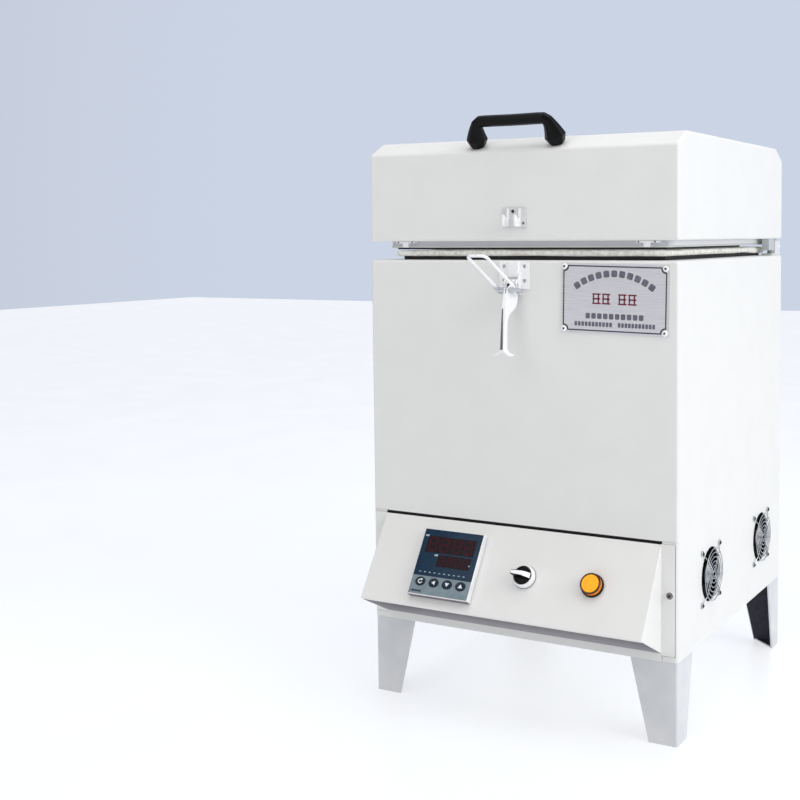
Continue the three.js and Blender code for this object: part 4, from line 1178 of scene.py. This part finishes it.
def fan_guard(name, place):
    """Welded wire guard: rings on two crossed spokes whose ends loop round the corner screws."""
    wires = []
    ring_x, spoke_x, loop_x = 5.2, 3.8, 1.1  # how far each stands off the side panel
    for radius in (6.2, 12, 18, 24, 30, 36):
        ring = [(ring_x, y, z) for y, z in arc((0, 0), radius, 0, 360, 56)[:-1]]
        wires.append(wire("ring", ring, 0.64, closed=True, sides=10))
    reach = FAN_HOLE * math.sqrt(2)
    for turn in (45, 135, 225, 315):
        a = math.radians(turn)
        along = Vector((0, math.cos(a), math.sin(a)))
        path = [along * r + X * spoke_x for r in (3, 12, 20, 28, 36)]
        path += [along * 41 + X * 2.6, along * (reach - 3.6) + X * loop_x]
        wires.append(wire("spoke", path, 0.78, sides=10))
        centre = along * reach + X * loop_x
        loop = [centre + Vector((0, y, z)) for y, z in arc((0, 0), 3.4, 0, 360, 24)[:-1]]
        wires.append(wire("loop", loop, 0.85, closed=True, sides=10))
    guard = gather(f"{name}_wires", wires)
    finish_piece(moved(guard, shift(place)), CHROME, [name], angle=60)
    for y, z in FAN_CORNERS:
        title = f"{name}_screw_{y:.0f}_{z:.0f}".replace("-", "m")
        pan_screw(title, place + Vector((0.2, y, z)), X, 2.7, material=DARK_STEEL, height=3.4)


def make_fans():
    """Each fan's frame, rotor and wire guard."""
    for end in ("front", "rear"):
        low, high = span(f"fan_frame_{end}")
        middle = (low + high) / 2
        fan_frame(f"fan_frame_{end}", Vector((high.x, middle.y, middle.z)))
        fan_rotor(f"fan_rotor_{end}", f"{end}_fan", Vector((high.x, middle.y, middle.z)))
        fan_guard(f"fan_guard_{end}", Vector((HALF, middle.y, middle.z)))


# ---- Lid ----
def lid_outline(inset, bottom):
    """The lid's side outline in (y, z), a wall's thickness inside its outer skin."""
    run, rise = CHAMFER_RUN, CHAMFER_RISE
    shoulder = LID_TOP - rise
    slope = math.hypot(run, rise)
    lower = shoulder - inset * (slope - rise) / run
    upper = run + inset * (slope - run) / rise
    left = [(inset, bottom), (inset, lower), (upper, LID_TOP - inset)]
    return left + [(DEPTH - y, z) for y, z in reversed(left)]


def make_lid():
    """The folded shell, the inner frame in its mouth with painted shade at its front, a bright lip and a black
    strip of painted shade, and the fibre lining.
    """
    shell = along_x("lid_sheet", lid_outline(0, LID_BOTTOM), -HALF, HALF)
    rounded(shell, FOLD, 5, angle=15)
    hollow = along_x("hollow", lid_outline(SHEET, LID_BOTTOM + SHEET), -HALF + SHEET, HALF - SHEET)
    low, high = span("lid_inner_frame")
    plug_low, plug_high = plug_span()

    def opening(near, far, margin, bottom, top):
        """A cutter a margin wider than what two corners span."""
        more = Vector((margin, margin))
        return box("opening", (*(near.xy - more), bottom), (*(far.xy + more), top))

    mouth = opening(low, high, 0.5, LID_BOTTOM - 5, LID_BOTTOM + 5)
    cut(shell, rounded(hollow, FOLD - SHEET, 3, angle=15), mouth)
    finish_piece(shell, PAINT, ["lid_shell"], body="lid")
    ring = rounded(box("lid_frame_sheet", low, high), 1.4, 3)
    cut(ring, opening(plug_low, plug_high, 0.4, low.z - 5, high.z + 5))
    finish_piece(ring, SHADED_LID_STEEL, ["lid_inner_frame"], body="lid")
    out = Vector((0.7, 0.7, 0))
    lip = box("lid_frame_lip", low - out - Z * 0.1, Vector((high.x, high.y, low.z + 2.6)) + out)
    cut(rounded(lip, 0.5, 2), opening(plug_low, plug_high, 0.4, low.z - 5, high.z + 5))
    finish_piece(lip, LIP_STEEL, body="lid")
    # A black strip below the frame's lower edge: painted shade in the gap there.
    strip_end, wide = 330, 6
    near, far = Vector((low.x + 8, low.y + 3, low.z - 2.4)), Vector((high.x - 3, strip_end, low.z + 0.1))
    shade_strip = box("lid_frame_shade_strip", near, far)
    inside = box("inside", (near.x + wide, near.y + wide, low.z - 9), (far.x - wide, strip_end + 70, high.z))
    finish_piece(cut(shade_strip, inside), SHADE_BLACK, body="lid")
    make_lining()


def plug_span():
    """The lining's plug, which closes the chamber's mouth, set in the lid's inner frame."""
    half = (span("brick_left")[1].x * -1) + 39
    middle = DEPTH / 2
    low_z = span("lid_lining")[0].z
    return Vector((-half, middle - half, low_z)), Vector((half, middle + half, low_z + 20))


def woolly(piece, amount, per_mm, seed):
    """Moves each point a little along its normal by noise, the way fibre board is uneven."""
    place = Vector((seed * 17.3, seed * 5.1, seed * 9.7))
    with editing(piece) as bm:
        bm.normal_update()
        moves = [(v, v.normal * amount * noise.noise(v.co * per_mm + place)) for v in bm.verts]
        for v, move in moves:
            v.co += move


def gridded(piece, spacing):
    """Splits a piece's long edges so that its faces can be moved."""
    with editing(piece) as bm:
        bmesh.ops.triangulate(bm, faces=bm.faces)
        for _ in range(7):
            long = [e for e in bm.edges if e.calc_length() > spacing]
            if not long:
                break
            bmesh.ops.subdivide_edges(bm, edges=long, cuts=1, use_grid_fill=False)
            bmesh.ops.triangulate(bm, faces=[f for f in bm.faces if len(f.verts) > 3])


def make_lid_clips():
    """Bent tabs under the lid's front edge that hold its inner frame, each with a stem and two screws."""
    level = LID_BOTTOM - 0.2
    for side, x in (("left", -181), ("right", 188)):
        foot = rounded(box(f"lid_clip_{side}", (x - 15, 8, level - 2.6), (x + 15, 22, level)), 0.8, 2)
        stem = rounded(box("stem", (x - 5, 9, level - 8.2), (x + 4, 12.4, level - 0.6)), 0.8, 2)
        finish_piece(fuse(foot, stem), ZINC, body="lid")
        for end, shift in (("a", -11.5), ("b", 11.5)):
            pan_screw(f"lid_clip_screw_{side}_{end}", (x + shift, 8, level - 1.3), -Y, 1.1,
                      body="lid", material=DARK_STEEL, height=0.7)


def make_lining():
    """Fibre that fills the lid, with the plug that closes the chamber."""
    inset = SHEET + 1.2
    wide = along_x("lid_fibre", lid_outline(inset, LID_BOTTOM + SHEET + 0.6), inset - HALF, HALF - inset)
    plug_low, plug_high = plug_span()
    plug = rounded(box("plug", plug_low + Vector((0.8, 0.8, 0.6)), plug_high - Vector((0.8, 0.8, 0))), 2.0, 3)
    gridded(plug, 9)
    woolly(plug, 0.6, 0.06, 3)
    finish_piece(gather("lid_fibre", [wide, plug]), WOOL, ["lid_lining"], body="lid")


def make_handle():
    """A bridge handle with bevelled bars: a level grip, slanting shoulders and feet that swell and taper."""
    tilt = math.atan2(CHAMFER_RISE, CHAMFER_RUN)
    share, aside = 0.36, -1.3  # how far up the chamfer it stands, and how far off the middle plane
    foot = Vector((aside, CHAMFER_RUN * share, LID_TOP - CHAMFER_RISE * (1 - share) + 0.4))
    here = shift(foot) @ spin(tilt, "X")
    # each station: x and height of the bar's middle, half its width in the bar's plane and across it
    half = [(60.0, 0.0, 8.4, 8.6), (60.2, 3.0, 10.6, 10.4), (59.6, 11.0, 13.8, 12.8),
            (58.0, 20.0, 11.2, 10.0), (55.8, 28.0, 8.8, 8.0), (53.0, 33.6, 7.8, 7.0),
            (48.5, 36.9, 7.5, 6.8), (40.0, 37.1, 7.4, 6.8), (20.0, 36.9, 7.4, 6.8)]
    stations = half + [(0.0, 36.7, 7.4, 6.8)] + [(-x, z, w, d) for x, z, w, d in reversed(half)]
    bm = bmesh.new()
    rings = []
    for i, (x, z, wide, across) in enumerate(stations):
        before = stations[max(i - 1, 0)]
        after = stations[min(i + 1, len(stations) - 1)]
        way = Vector((after[0] - before[0], 0, after[1] - before[1])).normalized()
        if i in (0, len(stations) - 1):
            way = Vector((0, 0, 1 if i == 0 else -1))
        out = Vector((way.z, 0, -way.x))
        clip = 0.45  # share of each side that is left between the clipped corners
        section = [(wide * u, across * v) for u, v in (
            (1, clip), (clip, 1), (-clip, 1), (-1, clip), (-1, -clip), (-clip, -1), (clip, -1), (1, -clip))]
        rings.append([bm.verts.new(Vector((x, 0, z)) + out * u + Y * v) for u, v in section])
    join_rings(bm, rings)
    bm.faces.new(rings[0])
    bm.faces.new(list(reversed(rings[-1])))
    bridge = object_of("lid_grip", bm)
    cut(bridge, box("below", (-200, -60, -60), (200, 60, 0)))
    rounded(bridge, 0.9, 3, angle=12)
    finish_piece(moved(bridge, here), GRIP_BLACK, ["lid_handle"], body="lid")


# ---- Chamber ----
def make_seal():
    """A soft fibre rope and blanket round the chamber's mouth; its edge waves and its top is uneven."""
    low, high = span("fibre_seal")
    hole = span("brick_left")[1].x * -1 + 2
    near, far = span("brick_front")[1].y - 2, span("brick_back")[0].y + 2
    ring = box("mouth_seal", low + Vector((0.6, 0.6, 0)), high - Vector((0.6, 0.6, 0.2)))
    rounded(ring, 4.2, 4)
    cut(ring, box("hole", (-hole, near, low.z - 9), (hole, far, high.z + 9)))
    gridded(ring, 7)
    middle_z, inner, back = (low.z + high.z) / 2, 150, 420
    with editing(ring) as bm:
        for v in bm.verts:
            slow = noise.noise(Vector((v.co.x * 0.012, v.co.y * 0.012, 3.1)))
            fine = noise.noise(v.co * 0.07)
            outward = Vector((v.co.x, v.co.y - DEPTH / 2, 0))
            outer = abs(v.co.x) > inner or abs(outward.y) > inner
            if v.co.z > middle_z:
                v.co.z -= 1.6 * abs(fine) + 1.0 * abs(slow)
            elif outer:
                v.co.z += (2.2 + 1.2 * slow) * min(1, max(0.2, (back - v.co.y) / 60))
            if outer:
                v.co += outward.normalized() * (1.6 * slow + 0.7 * fine)
            if v.co.x < -inner:
                v.co.x += 8  # the seal starts further in on the left
    finish_piece(ring, SEAL_WOOL, ["fibre_seal"], angle=50)
    # A black ring under the seal's raised edge: painted shade in the gap between seal and rim.
    near, far = low + Vector((22, 3.5, 0)), high - Vector((3.5, 22, 0))
    gasket = box("mouth_shade_ring", (near.x, near.y, BODY_TOP + 0.1), (far.x, far.y, low.z + 3.6))
    cut(gasket, box("inside", (low.x + 34, low.y + 20, low.z - 9), (high.x - 20, high.y - 40, low.z + 20)))
    finish_piece(gasket, SHADE_BLACK)


def make_bricks():
    """The CAD bricks, with softened edges and the joints between bricks cut as shallow grooves."""
    chamber_low = span("brick_front")[0].z
    levels = [chamber_low + h for h in (114, 228)]
    deep, half = 1.4, 0.7
    for side in ("front", "back", "left", "right", "floor"):
        node = f"brick_{side}"
        copy = copy_of(frame["nodes"][node], f"{node}_courses")
        copy.data.transform(TO_ROW.inverted())
        with editing(copy) as bm:
            bmesh.ops.remove_doubles(bm, verts=bm.verts, dist=0.01)
            bmesh.ops.dissolve_limit(bm, angle_limit=math.radians(1), verts=bm.verts, edges=bm.edges)
        low, high = span(node)
        rounded(copy, 1.2, 2, angle=50)
        if side == "floor":
            joints = [box("joint", (x - half, low.y - 1, high.z - deep), (x + half, high.y + 1, high.z + 1))
                      for x in (-57, 57)]
        elif side in ("left", "right"):
            x = high.x if side == "left" else low.x
            joints = [box("joint", (x - deep, low.y - 1, z - half), (x + deep, high.y + 1, z + half))
                      for z in levels]
        else:
            y = high.y if side == "front" else low.y
            joints = [box("joint", (low.x - 1, y - deep, z - half), (high.x + 1, y + deep, z + half))
                      for z in levels]
            joints += [box("joint", (x - half, y - deep, low.z - 1), (x + half, y + deep, high.z + 1))
                       for x in (-36, 78)]
        cut(copy, *joints)
        finish_piece(copy, BRICK, [node])


def make_rods():
    """Silicon-carbide rods: thick cold ends and a slightly thinner hot middle."""
    for i in range(1, 5):
        node = f"heating_rod_{i}"
        low, high = span(node)
        x, z = (low.x + high.x) / 2, (low.z + high.z) / 2
        radius, hot_radius, start, end, cold = 6.9, 6.3, low.y, high.y, 110
        profile = [
            (0, start), (radius - 0.5, start), (radius, start + 0.8), (radius, start + cold),
            (hot_radius, start + cold + 1.2), (hot_radius, end - cold - 1.2), (radius, end - cold),
            (radius, end - 0.8), (radius - 0.5, end), (0, end)]
        rod = turned(f"{node}_bar", profile, 36)
        rod.data.transform(shift((x, 0, z)) @ spin(-QUARTER, "X"))
        finish_piece(rod, CARBIDE, [node])


def carry_over():
    """CAD nodes whose shape is right: they keep their mesh, with softened edges and a better material."""
    looks = {
        "base_plate": PAINT, "divider_shelf": STEEL, "fibre_jacket": WOOL, "thermocouple": PORCELAIN,
        "power_regulator": PLATE, "terminal_block": PORCELAIN, "cable_gland": BLACK,
    }
    for part, material in (("bracket", BRACKET_STEEL), ("leaf", HINGE_STEEL), ("pin", ZINC)):
        for side in ("left", "right"):
            looks[f"hinge_{part}_{side}"] = material
    for node, material in looks.items():
        solid = frame["nodes"][node]
        solid.data.materials.clear()
        solid.data.materials.append(material)
        for polygon in solid.data.polygons:
            polygon.material_index = 0
        join = solid.modifiers.new("weld", "WELD")
        join.merge_threshold = 0.00001
        step = solid.modifiers.new("edges", "BEVEL")
        step.width = 0.0005
        step.segments = 2
        step.limit_method = "ANGLE"
        step.angle_limit = math.radians(40)


# ---- Stage: camera, lights and floor ----
CAMERA_AT = Vector((784.1, -1483.8, 665.6))
CAMERA_AZIMUTH, CAMERA_DOWN, CAMERA_ROLL = (math.radians(a) for a in (27.819, 3.783, -0.364))
LENS, SENSOR = 55.70, 36.0
SHIFT_X, SHIFT_Y = -0.145, -0.1025


def make_camera():
    """A shift-lens camera at the place and angle fitted to the photograph."""
    camera = bpy.data.objects.new("camera", bpy.data.cameras.new("camera"))
    bpy.context.scene.collection.objects.link(camera)
    camera.data.lens = LENS
    camera.data.sensor_width = SENSOR
    camera.data.shift_x = SHIFT_X
    camera.data.shift_y = SHIFT_Y
    camera.data.clip_end = 50
    sin_a, cos_a = math.sin(CAMERA_AZIMUTH), math.cos(CAMERA_AZIMUTH)
    cos_d = math.cos(CAMERA_DOWN)
    ahead = Vector((-sin_a * cos_d, cos_a * cos_d, -math.sin(CAMERA_DOWN)))
    right = Vector((cos_a, sin_a, 0))
    up = right.cross(ahead)
    c, s = math.cos(CAMERA_ROLL), math.sin(CAMERA_ROLL)
    right, up = right * c + up * s, up * c - right * s
    turn = Matrix((right, up, -ahead)).transposed().to_4x4()
    camera.matrix_world = shift(ORIGIN + CAMERA_AT * MM) @ turn
    bpy.context.scene.camera = camera


def area_light(name, at, target, size, power):
    light = bpy.data.lights.new(name, "AREA")
    light.shape = "RECTANGLE"
    light.size, light.size_y = size
    light.energy = power
    lamp = bpy.data.objects.new(name, light)
    bpy.context.scene.collection.objects.link(lamp)
    lamp.location = at
    lamp.rotation_euler = (Vector(target) - Vector(at)).to_track_quat("-Z", "Y").to_euler()


def make_world():
    """Even studio light, with a pale blue wall of light behind the kiln."""
    world = bpy.data.worlds.new("studio")
    world.use_nodes = True
    nodes, links = world.node_tree.nodes, world.node_tree.links
    way = nodes.new("ShaderNodeTexCoord").outputs["Generated"]
    split = nodes.new("ShaderNodeSeparateXYZ")
    links.new(way, split.inputs["Vector"])
    behind = nodes.new("ShaderNodeMapRange")
    behind.interpolation_type = "SMOOTHSTEP"
    behind.inputs["From Min"].default_value = 0.1
    behind.inputs["From Max"].default_value = 0.8
    links.new(split.outputs["Y"], behind.inputs["Value"])
    mix = nodes.new("ShaderNodeMix")
    mix.data_type = "RGBA"
    mix.inputs["A"].default_value = (0.375, 0.375, 0.375, 1)
    mix.inputs["B"].default_value = (0.60, 0.66, 0.78, 1)
    links.new(behind.outputs["Result"], mix.inputs["Factor"])
    links.new(mix.outputs["Result"], nodes["Background"].inputs["Color"])
    bpy.context.scene.world = world


def make_stage():
    """A pale floor with a faint sheen, the pale blue surroundings and three soft lights."""
    bm = bmesh.new()
    bmesh.ops.create_grid(bm, x_segments=2, y_segments=2, size=9)
    floor = object_of("floor", bm)
    made = Surface("pale floor", srgb("AEB1B6"), 0.35)
    made.tint(made.noise(1.5, 2), srgb("A9ADB4"))
    made.gloss(made.noise(6, 2), 0.04)
    floor.data.materials.append(made.material)
    made.shader.inputs["Emission Color"].default_value = (1, 1, 1, 1)
    made.shader.inputs["Emission Strength"].default_value = 0.58
    make_world()
    area_light("right window", (3.2, -0.6, 1.9), (0, 0.1, 0.5), (2.4, 2.6), 67)
    area_light("front fill", (-1.2, -3.2, 2.5), (0, 0, 0.45), (2.2, 1.8), 18)
    area_light("top box", (0.2, -0.4, 3.2), (0, 0.1, 0.4), (2.4, 2.4), 39)
    bpy.context.scene.view_settings.view_transform = "Standard"


# ---- Everything in place ----
make_camera()
make_stage()
make_cabinet()
make_legs()
make_gap_shade()
make_control_box()
make_controller()
make_selector()
make_lamp()
make_nameplate()
make_latch_base()
make_lever()
make_bail()
make_keeper()
make_fans()
make_lid()
make_lid_clips()
make_handle()
make_seal()
make_bricks()
make_rods()
carry_over()
